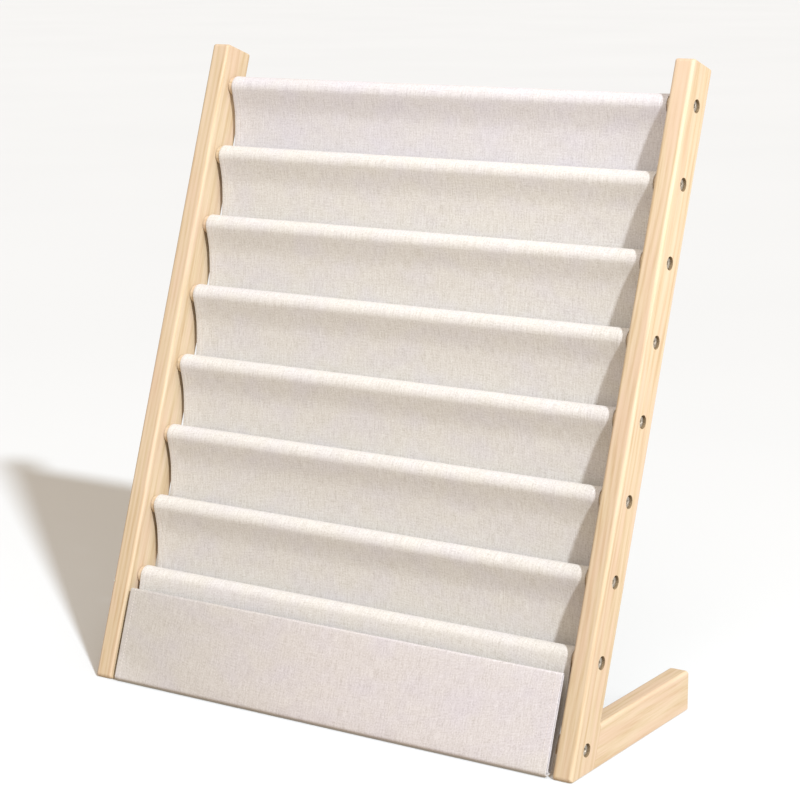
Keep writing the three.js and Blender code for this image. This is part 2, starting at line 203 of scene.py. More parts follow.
@dataclass(frozen=True)
class PlanedPine(Finish):
    """Pale pine, planed, sanded and sealed with a matt clear lacquer.

    The eye sees a warm cream board with long soft growth lines, shorter fibre streaks along them, pinkish
    patches and a few darker flecks. The lacquer gives only a wide dull sheen.
    """

    run: GrainRun
    tones: tuple[str, str, str] = ("#c7b59b", "#bfad8e", "#b09774")
    tone_stops: Triple = (0.32, 0.52, 0.72)
    peach: str = "#c4a994"
    fleck: str = "#b48b5f"
    ring_spacing: float = 5.5 * MM
    heart_offset: Pair = (46 * MM, 61 * MM)
    heart_wander: Cells = Cells((420 * MM, 45 * MM, 45 * MM))
    wander_reach: float = 26 * MM
    fibres: Cells = Cells((38 * MM, 1.7 * MM, 1.7 * MM), 3.0)
    flecks: Cells = Cells((9 * MM, 0.7 * MM, 0.7 * MM), 1.0)
    clouds: Cells = Cells((260 * MM, 18 * MM, 18 * MM), 1.0)
    blush: Cells = Cells((90 * MM, 14 * MM, 14 * MM))
    fibre_share: float = 0.74
    cloud_share: float = 0.34
    blush_range: Range = (0.44, 0.64, 0.0, 0.4)
    fleck_range: Range = (0.66, 0.8, 0.0, 0.22)
    dullness_range: Range = (0.3, 0.7, 0.58, 0.7)
    ring_relief_share: float = 0.4
    relief: Pair = (0.35, 0.12 * MM)

    @classmethod
    def laid(cls, run: GrainRun) -> "PlanedPine":
        """The pine of the pieces whose grain lies along a run."""
        return cls(f"planed_pine_{run.name.lower()}", run)

    def looks(self, tree: Tree) -> dict[str, object]:
        """The wood, with its grain laid along the run.

        Args:
            tree: the material's tree.

        Returns:
            What goes into the shader's inputs.
        """
        tilt, swing = (math.radians(a) for a in self.run.value)
        place = add_node(tree, "ShaderNodeTexCoord", out="Object")
        turn = {"Vector": place, "Rotation": (tilt, 0.0, swing), "Location": (0.0, *self.heart_offset)}
        along = add_node(tree, "ShaderNodeMapping", turn)
        rings = self._rings(tree, along)
        fibres = self.fibres.noise(tree, along)
        tone = add_node(tree, "ShaderNodeMix", {"Factor": self.fibre_share, 2: rings, 3: fibres})
        clouds = self.clouds.noise(tree, along)
        tone = add_node(tree, "ShaderNodeMix", {"Factor": self.cloud_share, 2: tone, 3: clouds})
        colour = add_node(tree, "ShaderNodeValToRGB", {"Fac": tone}, ramp=zip(self.tone_stops, self.tones))
        for cells, span, tint in (
            (self.blush, self.blush_range, self.peach),
            (self.flecks, self.fleck_range, self.fleck),
        ):
            pattern = cells.noise(tree, along)
            share = add_node(tree, "ShaderNodeMapRange", dict(zip(SPAN, (pattern, *span))))
            feeds = {"Factor": share, 6: colour, 7: linear(tint)}
            colour = add_node(tree, "ShaderNodeMix", feeds, 2, data_type="RGBA")
        height = add_node(tree, "ShaderNodeMix", {"Factor": self.ring_relief_share, 2: fibres, 3: rings})
        bump = {"Strength": self.relief[0], "Distance": self.relief[1], "Height": height}
        normal = add_node(tree, "ShaderNodeBump", bump)
        dullness = add_node(tree, "ShaderNodeMapRange", dict(zip(SPAN, (fibres, *self.dullness_range))))
        return {"Base Color": colour, "Roughness": dullness, "Normal": normal}

    def _rings(self, tree: Tree, along: Socket) -> Socket:
        """The growth lines: cylinders about a wandering heart that lies outside the board.

        Args:
            tree: the material's tree.
            along: the place with its X along the grain.

        Returns:
            A socket from 0 in early wood to 1 in late wood.
        """
        wander = self.heart_wander.noise(tree, along, "Color")
        feeds = {0: wander, 1: (NOISE_MIDDLE, NOISE_MIDDLE, NOISE_MIDDLE)}
        shift = add_node(tree, "ShaderNodeVectorMath", feeds, operation="SUBTRACT")
        feeds = {0: shift, 1: (0.0, self.wander_reach, self.wander_reach), 2: along}
        wandered = add_node(tree, "ShaderNodeVectorMath", feeds, operation="MULTIPLY_ADD")
        waves = 2 * math.pi / (WAVE_RADIANS * self.ring_spacing)
        feeds = {"Vector": wandered, "Scale": waves, "Distortion": 0.0, "Detail": 0.0}
        shape = {"wave_type": "RINGS", "rings_direction": "X", "wave_profile": "SIN"}
        return add_node(tree, "ShaderNodeTexWave", feeds, "Fac", **shape)


@dataclass(frozen=True)
class LinenCanvas(Finish):
    """Unbleached linen and cotton canvas in plain weave, pre-washed.

    The eye sees an oatmeal cloth of uneven threads: thick and thin places run a short way down and across
    it, with small pale and grey flecks. It has no gloss, only a faint bloom at a grazing look. Daylight has
    given the top pocket and the front panel a rose cast. The front panel also carries painted shade: its
    colour is multiplied darker, a little over the whole panel and most at its left end.
    The fade runs along the strip, from black where there is no rose to white where all is rose.
    """

    width: float
    length: float
    plain_tones: tuple[str, str, str] = ("#b5b2a9", "#c6c4be", "#d3d3ce")
    rose_tones: tuple[str, str, str] = ("#b3b0b3", "#c3c1c4", "#d0cfd2")
    tone_stops: Triple = (0.34, 0.49, 0.66)
    fade: tuple[tuple[float, str], ...] = (
        (0.07, "#cacaca"),
        (0.13, "#000000"),
        (0.87, "#000000"),
        (0.9, "#8e8e8e"),
    )
    # Painted shade on the front panel: a ramp across it that darkens its colour, darkest at the left end.
    panel_tones: tuple[str, str, str] = ("#e6e4df", "#f5f2f2", "#fbf9fc")
    panel_stops: Triple = (0.08, 0.5, 0.92)
    panel_range: Range = (0.88, 0.9, 0.0, 1.0)
    # The real threads are 0.5 mm apart, which this picture can't show, so they are drawn twice as wide.
    thread_pitch: float = 1.0 * MM
    slubs_down: Cells = Cells((1.5 * MM, 15 * MM, 1.5 * MM))
    slubs_across: Cells = Cells((15 * MM, 1.5 * MM, 15 * MM))
    flecks: Cells = Cells((1.7 * MM, 1.7 * MM, 1.7 * MM), 1.0)
    patches: Cells = Cells((46 * MM, 34 * MM, 46 * MM))
    across_share: float = 0.36
    fleck_share: float = 0.42
    patch_range: Range = (0.42, 0.7, 0.0, 0.5)
    tone_relief_share: float = 0.55
    relief: Pair = (0.28, 0.15 * MM)
    roughness: float = 0.92
    specular: float = 0.25
    bloom: float = 0.12
    bloom_roughness: float = 0.5

    def looks(self, tree: Tree) -> dict[str, object]:
        """The cloth, on the attribute that holds each point's place on the flat strip.

        Args:
            tree: the material's tree.

        Returns:
            What goes into the shader's inputs.
        """
        flat = add_node(tree, "ShaderNodeAttribute", out="Vector", attribute_name="flat_place")
        down, across, flecks, patches = (
            cells.noise(tree, flat)
            for cells in (self.slubs_down, self.slubs_across, self.flecks, self.patches)
        )
        threads = add_node(tree, "ShaderNodeMix", {"Factor": self.across_share, 2: down, 3: across})
        tone = add_node(tree, "ShaderNodeMix", {"Factor": self.fleck_share, 2: threads, 3: flecks})
        plain, rose = (
            add_node(tree, "ShaderNodeValToRGB", {"Fac": tone}, ramp=zip(self.tone_stops, tones))
            for tones in (self.plain_tones, self.rose_tones)
        )
        parts = add_node(tree, "ShaderNodeSeparateXYZ", {0: flat}).node.outputs
        way = add_node(tree, "ShaderNodeMath", {0: parts["Y"], 1: self.length}, operation="DIVIDE")
        faded = add_node(tree, "ShaderNodeValToRGB", {"Fac": way}, ramp=self.fade)
        patchy = add_node(tree, "ShaderNodeMapRange", dict(zip(SPAN, (patches, *self.patch_range))))
        share = add_node(tree, "ShaderNodeMath", {0: patchy, 1: faded}, operation="ADD", use_clamp=True)
        cast = add_node(tree, "ShaderNodeMix", {"Factor": share, 6: plain, 7: rose}, 2, data_type="RGBA")
        half = self.width / 2
        sideways, panel_shade_share = (
            add_node(tree, "ShaderNodeMapRange", dict(zip(SPAN, span)))
            for span in ((parts["X"], -half, half, 0.0, 1.0), (way, *self.panel_range))
        )
        # Painted shade: the front panel's colour is multiplied by a ramp that darkens it, most at the left
        # end.
        panel_shade_ramp = zip(self.panel_stops, self.panel_tones)
        painted_panel_shade = add_node(tree, "ShaderNodeValToRGB", {"Fac": sideways}, ramp=panel_shade_ramp)
        feeds = {"Factor": panel_shade_share, 6: cast, 7: painted_panel_shade}
        colour = add_node(tree, "ShaderNodeMix", feeds, 2, data_type="RGBA", blend_type="MULTIPLY")
        weave = self._weave(tree, flat)
        height = add_node(tree, "ShaderNodeMix", {"Factor": self.tone_relief_share, 2: weave, 3: tone})
        bump = {"Strength": self.relief[0], "Distance": self.relief[1], "Height": height}
        return {
            "Base Color": colour,
            "Normal": add_node(tree, "ShaderNodeBump", bump),
            "Roughness": self.roughness,
            "Specular IOR Level": self.specular,
            "Sheen Weight": self.bloom,
            "Sheen Roughness": self.bloom_roughness,
        }

    def _weave(self, tree: Tree, flat: Socket) -> Socket:
        """The over and under of the threads as a height.

        Args:
            tree: the material's tree.
            flat: the place on the flat strip.

        Returns:
            A socket from 0 to 1.
        """
        feeds = {0: flat, 3: math.pi / self.thread_pitch}
        turns = add_node(tree, "ShaderNodeVectorMath", feeds, operation="SCALE")
        parts = add_node(tree, "ShaderNodeSeparateXYZ", {0: turns}).node.outputs
        over, under = (add_node(tree, "ShaderNodeMath", {0: parts[a]}, operation="SINE") for a in "XY")
        crossed = add_node(tree, "ShaderNodeMath", {0: over, 1: under}, operation="MULTIPLY")
        feeds = {0: crossed, 1: 0.5, 2: 0.5}
        return add_node(tree, "ShaderNodeMath", feeds, operation="MULTIPLY_ADD")


@dataclass(frozen=True)
class MottledFinish(Finish):
    """A finish whose tone wanders between two colours.

    Attributes:
        dark: the colour in the pattern's hollows.
        light: the colour on its crests.
        cells: the pattern.
        roughness: how dull it is, in the hollows and on the crests.
        stops: where the dark ends and the light begins.
        roughness_stops: where the first roughness ends and the second begins.
        relief: the strength and the height of its bumps.
        metallic: 1 for bare metal.
    """

    dark: str
    light: str
    cells: Cells
    roughness: Pair
    stops: Pair = (0.35, 0.65)
    roughness_stops: Pair = (0.3, 0.7)
    relief: Pair = (0.0, 0.0)
    metallic: float = 0.0

    def looks(self, tree: Tree) -> dict[str, object]:
        """The mottled colour, and the roughness and the bumps that go with it.

        Args:
            tree: the material's tree.

        Returns:
            What goes into the shader's inputs.
        """
        mottle = self.cells.noise(tree, add_node(tree, "ShaderNodeTexCoord", out="Object"))
        tones = zip(self.stops, (self.dark, self.light))
        found = {
            "Base Color": add_node(tree, "ShaderNodeValToRGB", {"Fac": mottle}, ramp=tones),
            "Roughness": self.roughness[0],
            "Metallic": self.metallic,
        }
        if self.roughness[0] != self.roughness[1]:
            span = dict(zip(SPAN, (mottle, *self.roughness_stops, *self.roughness)))
            found["Roughness"] = add_node(tree, "ShaderNodeMapRange", span)
        if self.relief[0]:
            bump = {"Strength": self.relief[0], "Distance": self.relief[1], "Height": mottle}
            found["Normal"] = add_node(tree, "ShaderNodeBump", bump)
        return found


@dataclass(frozen=True)
class BoredPine(MottledFinish):
    """Pine where a boring bit has cut it, with its end grain a little darker than the faces. The rest of its
    dark brown is painted shade of the holes, so the eye sees a dull brown ring.
    """

    title: str = "bored_pine"
    dark: str = "#685740"
    light: str = "#8f7c5e"
    cells: Cells = Cells((0.9 * MM, 0.9 * MM, 0.9 * MM))
    roughness: Pair = (0.85, 0.85)


@dataclass(frozen=True)
class SewingThread(MottledFinish):
    """Spun polyester thread, matched to the canvas. It is a little paler, with fine bands for its twist."""

    title: str = "sewing_thread"
    dark: str = "#c2bbb3"
    light: str = "#dad5cf"
    cells: Cells = Cells((0.5 * MM, 0.5 * MM, 0.5 * MM), 1.0)
    roughness: Pair = (0.6, 0.6)
    stops: Pair = (0.35, 0.6)


@dataclass(frozen=True)
class ZincPlatedSteel(MottledFinish):
    """Steel fasteners, cold headed and zinc plated.

    The eye sees a warm grey metal with a soft gloss, slightly uneven where the plating pooled.
    """

    title: str = "zinc_plated_steel"
    dark: str = "#a69f93"
    light: str = "#cdc6ba"
    cells: Cells = Cells((2.5 * MM, 2.5 * MM, 2.5 * MM), 3.0)
    roughness: Pair = (0.6, 0.5)
    relief: Pair = (0.2, 0.05 * MM)
    metallic: float = 1.0


@dataclass(frozen=True)
class Hardboard(MottledFinish):
    """Pressed wood fibre board, plain brown. The eye sees a fine felt of light and dark fibres."""

    title: str = "hardboard"
    dark: str = "#6f5237"
    light: str = "#9c7a57"
    cells: Cells = Cells((5 * MM, 0.6 * MM, 0.6 * MM), 4.0)
    roughness: Pair = (0.8, 0.8)
    relief: Pair = (0.3, 0.1 * MM)


@dataclass(frozen=True)
class StudioPaper(MottledFinish):
    """A sheet of matt paper for the floor, faintly clouded, which looks nearly white under the lamps."""

    title: str = "studio_paper"
    dark: str = "#d8dfe2"
    light: str = "#dae1e4"
    cells: Cells = Cells((1.25, 1.25, 1.25))
    roughness: Pair = (0.95, 0.95)
    stops: Pair = (0.3, 0.7)


@dataclass
class Finishes:
    """The materials that several pieces share or that need no size of theirs, each made once."""

    post: Material = field(default_factory=PlanedPine.laid(GrainRun.UP_THE_POST).material)
    foot: Material = field(default_factory=PlanedPine.laid(GrainRun.ALONG_FOOT).material)
    bored: Material = field(default_factory=BoredPine().material)
    rod: Material = field(default_factory=PlanedPine.laid(GrainRun.ALONG_ROD).material)
    thread: Material = field(default_factory=SewingThread().material)
    steel: Material = field(default_factory=ZincPlatedSteel().material)
    board: Material = field(default_factory=Hardboard().material)


def object_from(
    name: str,
    places: Iterable[Sequence[float]],
    faces: Iterable[Sequence[int]] = (),
    edges: Iterable[Sequence[int]] = (),
) -> Piece:
    """Makes an object at the origin from places, edges and faces.

    Args:
        name: the object's name.
        places: a place for each vertex.
        faces: the vertices of each face.
        edges: the vertices of each edge that no face has.

    Returns:
        The object, linked to the scene.
    """
    mesh = bpy.data.meshes.new(name)
    mesh.from_pydata([tuple(p) for p in places], list(edges), list(faces))
    made = bpy.data.objects.new(name, mesh)
    bpy.context.scene.collection.objects.link(made)
    return made


def face_outwards(piece: Piece, weld: bool = True) -> None:
    """Turns every face of a closed piece outwards.

    Args:
        piece: the piece.
        weld: whether doubled vertices are merged first.
    """
    bm = bmesh.new()
    bm.from_mesh(piece.data)
    if weld:
        bmesh.ops.remove_doubles(bm, verts=bm.verts, dist=WELD)
    bmesh.ops.recalc_face_normals(bm, faces=bm.faces)
    bm.to_mesh(piece.data)
    bm.free()


def settle(piece: Piece) -> None:
    """Applies a piece's modifiers to its mesh and removes them.

    Args:
        piece: the piece.
    """
    graph = bpy.context.evaluated_depsgraph_get()
    mesh = bpy.data.meshes.new_from_object(piece.evaluated_get(graph), depsgraph=graph)
    old = piece.data
    piece.modifiers.clear()
    piece.data = mesh
    mesh.name = piece.name
    bpy.data.meshes.remove(old)


def smooth_by_angle(piece: Piece, degrees: float) -> None:
    """Shades a piece smooth, with its edges over an angle kept sharp."""
    piece.data.shade_smooth()
    piece.data.set_sharp_from_angle(angle=math.radians(degrees))


def shade_evenly(piece: Piece) -> None:
    """Shades a board so that its flat faces stay flat to the eye beside their eased edges.

    Args:
        piece: the board.
    """
    smooth_by_angle(piece, HARD_CREASE)
    piece.modifiers.new("even shading", "WEIGHTED_NORMAL").keep_sharp = True
    settle(piece)


def throw_away(helper: Piece) -> None:
    """Removes a helper object and its mesh.

    Args:
        helper: the object.
    """
    mesh = helper.data
    bpy.data.objects.remove(helper)
    bpy.data.meshes.remove(mesh)


def dress(piece: Piece, material: Material) -> None:
    """Gives a piece one material."""
    piece.data.materials.clear()
    piece.data.materials.append(material)


def mount(piece: Piece, nodes: Iterable[str] = ()) -> None:
    """Attaches a finished piece to the shelf's one body, hides the CAD nodes that it stands for, and logs it.

    Args:
        piece: the piece, which rides on the shelf's one body.
        nodes: the CAD nodes that it stands for.
    """
    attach(piece, BODY)
    if nodes:
        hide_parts(*nodes)
    LOG.info("%s: %d faces", piece.name, len(piece.data.polygons))


def nodes_named(*stems: str) -> list[str]:
    """Lists the frame's nodes whose names begin with one of the stems."""
    return [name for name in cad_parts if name.startswith(stems)]


def skin(rows: int, around: int, first: int = 0) -> Faces:
    """The faces between closed rows of points that follow each other.

    Args:
        rows: how many rows there are.
        around: how many points each has.
        first: the index of the first row's first point.

    Returns:
        The faces.
    """
    faces = []
    for row in range(first, first + (rows - 1) * around, around):
        for k in range(around):
            a, b = row + k, row + (k + 1) % around
            faces.append((a, b, b + around, a + around))
    return faces


def on_circle(centre: Vector, radius: float, angle: float) -> Vector:
    """The side-view point of a circle at an angle measured from the back over the top."""
    return centre + Vector((math.cos(angle), math.sin(angle))) * radius


def arc(centre: Vector, radius: float, start: float, end: float, step: float) -> list[Vector]:
    """Points on an arc in side view.

    Args:
        centre: the arc's centre.
        radius: its radius.
        start: the angle where it begins.
        end: the angle where it ends.
        step: the widest angle between two points.

    Returns:
        The points, both ends among them.
    """
    count = max(1, math.ceil(abs(end - start) / step - ROUNDING_ERROR))
    return [on_circle(centre, radius, start + (end - start) * k / count) for k in range(count + 1)]


def bezier(a: Vector, b: Vector, c: Vector, d: Vector, count: int) -> list[Vector]:
    """Points on a cubic curve.

    Args:
        a: where it begins.
        b: its first handle.
        c: its second handle.
        d: where it ends.
        count: how many spans it is cut into.

    Returns:
        The points, both ends among them.
    """
    points = []
    for k in range(count + 1):
        t = k / count
        u = 1 - t
        points.append(a * u**3 + b * 3 * u * u * t + c * 3 * u * t * t + d * t**3)
    return points


def rounded(before: Vector, at: Vector, after: Vector, radius: float, step: float) -> list[Vector]:
    """The points that round one corner of a side-view line.

    Args:
        before: the point before the corner.
        at: the corner.
        after: the point after it.
        radius: the rounding, or 0 for a sharp corner.
        step: the widest angle between two points.

    Returns:
        The points on the arc, or the corner alone.
    """
    if radius <= 0:
        return [at.copy()]
    inward = (before - at).normalized()
    onward = (after - at).normalized()
    half = inward.angle(onward) / 2
    centre = at + (inward + onward).normalized() * (radius / math.sin(half))
    spoke = at + inward * (radius / math.tan(half)) - centre
    begin = math.atan2(spoke.y, spoke.x)
    turned_by = (math.pi - 2 * half) * (1 if onward.cross(inward) > 0 else -1)
    return arc(centre, radius, begin, begin + turned_by, step)


def spread_evenly(points: list[Vector], count: int) -> list[Vector]:
    """Lays a fixed number of spans evenly along a line.

    Args:
        points: the line's points.
        count: how many spans are wanted.

    Returns:
        The new points, both ends among them.
    """
    spans = len(points) - 1
    laid = []
    for k in range(count + 1):
        t = k * spans / count
        low = min(int(t), spans - 1)
        laid.append(points[low].lerp(points[low + 1], t - low))
    return laid


def turned(profile: Sequence[Pair], sides: int) -> tuple[list[Vector], Faces]:
    """Spins a profile about the X axis.

    Args:
        profile: radius and place along X, from end to end. Radius 0 closes an end.
        sides: how many sides the turned piece has.

    Returns:
        The places and the faces.
    """
    places: list[Vector] = []
    rings: list[list[int]] = []
    for radius, x in profile:
        if radius == 0:
            rings.append([len(places)] * sides)
            places.append(Vector((x, 0, 0)))
            continue
        rings.append(list(range(len(places), len(places) + sides)))
        for k in range(sides):
            angle = 2 * math.pi * k / sides
            places.append(Vector((x, radius * math.cos(angle), radius * math.sin(angle))))
    faces = []
    for ring, after in zip(rings, rings[1:]):
        for k in range(sides):
            corners = [ring[k], ring[(k + 1) % sides], after[(k + 1) % sides], after[k]]
            faces.append(tuple(dict.fromkeys(corners)))
    return places, faces


@dataclass(frozen=True)
class ShelfPlan:
    """The sizes and places that the sub-assemblies share."""

    overall_width: float = 600 * MM
    board_thickness: float = 22 * MM
    board_width: float = 44 * MM
    lean: float = math.radians(19)
    foot_length: float = 257 * MM
    rod_diameter: float = 20 * MM
    rod_pitch: float = 80 * MM
    cloth_rods: int = 8
    bottom_rise: float = 34.5 * MM
    bottom_pitch: float = 86 * MM
    top_margin: float = 43.5 * MM
    bolt_seat: float = 5.7 * MM
    fit_gap: float = 0.3 * MM

    @property
    def inner_width(self) -> float:
        """The clear width between the posts."""
        return self.overall_width - 2 * self.board_thickness

    @property
    def rises(self) -> list[float]:
        """How far up the post each rod sits.

        Returns:
            The lengths, from the top rod down to the bottom rod.
        """
        lowest = self.bottom_rise + self.bottom_pitch
        cloth = [lowest + k * self.rod_pitch for k in reversed(range(self.cloth_rods))]
        return [*cloth, self.bottom_rise]

    @property
    def post_length(self) -> float:
        """The length of a post along its front face."""
        return self.rises[0] + self.top_margin

    @property
    def up(self) -> Vector:
        """The side-view direction up the posts."""
        return Vector((math.sin(self.lean), math.cos(self.lean)))

    @property
    def back(self) -> Vector:
        """The side-view direction square to the posts, towards the back."""
        return Vector((math.cos(self.lean), -math.sin(self.lean)))

    @cached_property
    def front_toe(self) -> Vector:
        """Where the post's front face meets the floor, taken from the top rod's place in the frame.

        Returns:
            The side-view point.
        """
        low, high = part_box("rod_1")
        centre = (low + high) / 2
        return Vector((centre.y, centre.z)) - self._leaning(self.rises[0], self.board_width / 2)

    def _leaning(self, along: float, back: float) -> Vector:
        """A step up the post and back from its front face, in side view."""
        s, c = math.sin(self.lean), math.cos(self.lean)
        return Vector((along * s + back * c, along * c - back * s))

    def on_post(self, along: float, back: float) -> Vector:
        """The side-view point at a length up the post and a distance back from its front face."""
        return self.front_toe + self._leaning(along, back)

    def rod_centre(self, number: int) -> Vector:
        """The side-view centre of a rod, counted from 1 at the top."""
        return self.on_post(self.rises[number - 1], self.board_width / 2)

    @property
    def rod_centres(self) -> list[Vector]:
        """The side-view centres of all rods, from the top down."""
        return [self.rod_centre(number) for number in range(1, len(self.rises) + 1)]

    def along_at_height(self, level: float, back: float) -> float:
        """How far up the post a height over the floor is reached, at a distance back."""
        return (level + back * math.sin(self.lean)) / math.cos(self.lean)


@dataclass(frozen=True)
class BoardEdge:
    """One straight edge of a board in side view: a point, its direction, and its share of the easing."""

    point: Vector
    direction: Vector
    share: float = 1.0

    def shifted(self, inset: float) -> Vector:
        """A point on the edge after it has moved into the board."""
        inward = Vector((-self.direction.y, self.direction.x))
        return self.point + inward * (inset * self.share)


@dataclass
class Board:
    """A board whose outline runs the given edges in order, with rounded corners and eased arrises."""

    edges: list[BoardEdge]
    corner_radii: list[float]
    easing: float = 3.6 * MM
    easing_steps: int = 6
    corner_step: float = math.radians(15)

    def ring(self, inset: float) -> list[Vector]:
        """The outline, moved into the board on its eased edges. Every ring has as many points.

        Args:
            inset: how far it has moved.

        Returns:
            The points in order.
        """
        points: list[Vector] = []
        for edge, after, radius in zip(self.edges, self.edges[1:] + self.edges[:1], self.corner_radii):
            start = edge.shifted(inset)
            gap = after.shifted(inset) - start
            reach = gap.cross(after.direction) / edge.direction.cross(after.direction)
            corner = start + edge.direction * reach
            bend = (corner - edge.direction, corner, corner + after.direction)
            points_here = rounded(*bend, radius, self.corner_step)
            if radius > 0:
                count = len(points_here) - 1
                wide_step = self.corner_step + math.pi / count / 2
                points_here = spread_evenly(rounded(*bend, radius - inset, wide_step), count)
            points.extend(points_here)
        return points

    def solid(self, name: str, x_from: float, x_to: float) -> Piece:
        """Builds the board between two places across the shelf.

        Args:
            name: the object's name.
            x_from: its lower place on X.
            x_to: its higher place on X.

        Returns:
            The board.
        """
        rounds = [QUARTER_TURN * k / self.easing_steps for k in range(self.easing_steps + 1)]
        near = [
            (self.easing * (1 - math.sin(a)), x_from + self.easing * (1 - math.cos(a))) for a in rounds
        ]
        far = [(inset, x_from + x_to - x) for inset, x in reversed(near)]
        places = [Vector((x, p.x, p.y)) for inset, x in [*near, *far] for p in self.ring(inset)]
        rows = 2 * len(rounds)
        count = len(places) // rows
        ends = [tuple(reversed(range(count))), tuple(range(len(places) - count, len(places)))]
        made = object_from(name, places, [*ends, *skin(rows, count)])
        face_outwards(made)
        return made


@dataclass
class SideFrames:
    """The two leaning posts and the feet that run back from them."""

    plan: ShelfPlan
    finishes: Finishes
    corner: float = 4 * MM
    end_share: float = 0.45
    joint_line: float = 0.12 * MM
    bore: float = 6.6 * MM
    counterbore: float = 13.4 * MM
    mouth_chamfer: float = 0.35 * MM
    bore_sides: int = 40
    overrun: float = 3 * MM

    def build(self) -> None:
        """Builds, dresses and places all four boards."""
        for side in Side:
            mount(self._post(side), [f"{side.word}_post"])
            mount(self._foot(side), [f"{side.word}_foot"])

    def _span(self, side: Side) -> Pair:
        """Where a side's boards begin and end across the shelf.

        Args:
            side: which side frame they belong to.

        Returns:
            Their lower and their higher place on X.
        """
        outer = side.value * self.plan.overall_width / 2
        inner = side.value * self.plan.inner_width / 2
        return min(outer, inner), max(outer, inner)

    def _inner_corner(self, gap: float) -> Vector:
        """Where the foot's top meets the post's rear face."""
        lean, width = self.plan.lean, self.plan.board_width
        return self.plan.on_post(width * (1 + math.sin(lean)) / math.cos(lean), width + gap)

    def _post(self, side: Side) -> Piece:
        """A post with a counterbored hole for each bolt.

        Args:
            side: which side frame it belongs to.

        Returns:
            The post.
        """
        plan = self.plan
        toe = plan.on_post(0, 0)
        inner = self._inner_corner(0)
        top_back = plan.on_post(plan.post_length, plan.board_width)
        board = Board(
            edges=[
                BoardEdge(toe, Vector((1, 0)), self.end_share),
                BoardEdge(inner, plan.up, 0.0),
                BoardEdge(inner, Vector((-1, 0))),
                BoardEdge(inner, plan.up),
                BoardEdge(top_back, -plan.back, self.end_share),
                BoardEdge(toe, -plan.up),
            ],
            corner_radii=[0, 0, 0, self.corner, self.corner, self.corner],
        )
        post = board.solid(f"{side.word}_post_board", *self._span(side))
        dress(post, self.finishes.post)
        self._mark_bays(post)
        self._drill(post, side)
        return post

    def _mark_bays(self, post: Piece) -> None:
        """Cuts the post's faces halfway between the rods, so that no face gets more than one hole.

        Args:
            post: the post.
        """
        bm = bmesh.new()
        bm.from_mesh(post.data)
        up, centres = self.plan.up, self.plan.rod_centres
        for above, below in zip(centres, centres[1:]):
            middle = (above + below) / 2
            geometry = [*bm.verts, *bm.edges, *bm.faces]
            bmesh.ops.bisect_plane(
                bm, geom=geometry, plane_co=(0, middle.x, middle.y), plane_no=(0, up.x, up.y)
            )
        bm.to_mesh(post.data)
        bm.free()

    def _drill(self, post: Piece, side: Side) -> None:
        """Cuts the nine counterbored bolt holes into a post.

        Args:
            post: the post.
            side: which side frame it belongs to.
        """
        face = self.plan.overall_width / 2
        inside = self.plan.inner_width / 2 - self.overrun
        seat = face - self.plan.bolt_seat
        lip = self.counterbore / 2 + self.mouth_chamfer
        profile = [
            (0.0, inside),
            (self.bore / 2, inside),
            (self.bore / 2, seat),
            (self.counterbore / 2, seat),
            (self.counterbore / 2, face - self.mouth_chamfer),
            (lip, face),
            (lip, face + self.overrun),
            (0.0, face + self.overrun),
        ]
        bit_places, bit_faces = turned(profile, self.bore_sides)
        places: list[Vector] = []
        faces: Faces = []
        for centre in self.plan.rod_centres:
            faces.extend(tuple(k + len(places) for k in f) for f in bit_faces)
            places.extend(Vector((side.value * p.x, p.y + centre.x, p.z + centre.y)) for p in bit_places)
        drill = object_from("drill", places, faces)
        face_outwards(drill)
        # The hole walls take the dark brown bore finish, which is mostly painted shade of the holes.
        dress(drill, self.finishes.bored)
        cut = post.modifiers.new("bolt holes", "BOOLEAN")
        cut.operation, cut.material_mode, cut.solver = "DIFFERENCE", "TRANSFER", "EXACT"
        cut.object = drill
        settle(post)
        throw_away(drill)
        shade_evenly(post)

    def _foot(self, side: Side) -> Piece:
        """A foot, whose slanted front end meets the post in a hairline.

        Args:
            side: which side frame it belongs to.

        Returns:
            The foot.
        """
        plan = self.plan
        heel = plan.front_toe + Vector((plan.foot_length, 0))
        board = Board(
            edges=[
                BoardEdge(plan.front_toe, Vector((1, 0)), self.end_share),
                BoardEdge(heel, Vector((0, 1)), self.end_share),
                BoardEdge(heel + Vector((0, plan.board_width)), Vector((-1, 0))),
                BoardEdge(self._inner_corner(self.joint_line), -plan.up, 0.0),
            ],
            corner_radii=[self.corner, self.corner, 0, 0],
        )
        foot = board.solid(f"{side.word}_foot_board", *self._span(side))
        dress(foot, self.finishes.foot)
        shade_evenly(foot)
        return foot


def open_tree(
    name: str, inputs: dict[str, str], result: str
) -> tuple[bpy.types.GeometryNodeTree, bpy.types.bpy_prop_collection]:
    """Opens a Geometry Nodes tree with named inputs.

    Args:
        name: the tree's name.
        inputs: each input's name with its kind, such as Float.
        result: the name of the geometry that comes out.

    Returns:
        The tree, and the sockets that bring its inputs.
    """
    tree = bpy.data.node_groups.new(name, "GeometryNodeTree")
    for title, kind in inputs.items():
        tree.interface.new_socket(title, in_out="INPUT", socket_type=f"NodeSocket{kind}")
    tree.interface.new_socket(result, in_out="OUTPUT", socket_type="NodeSocketGeometry")
    return tree, add_node(tree, "NodeGroupInput").node.outputs


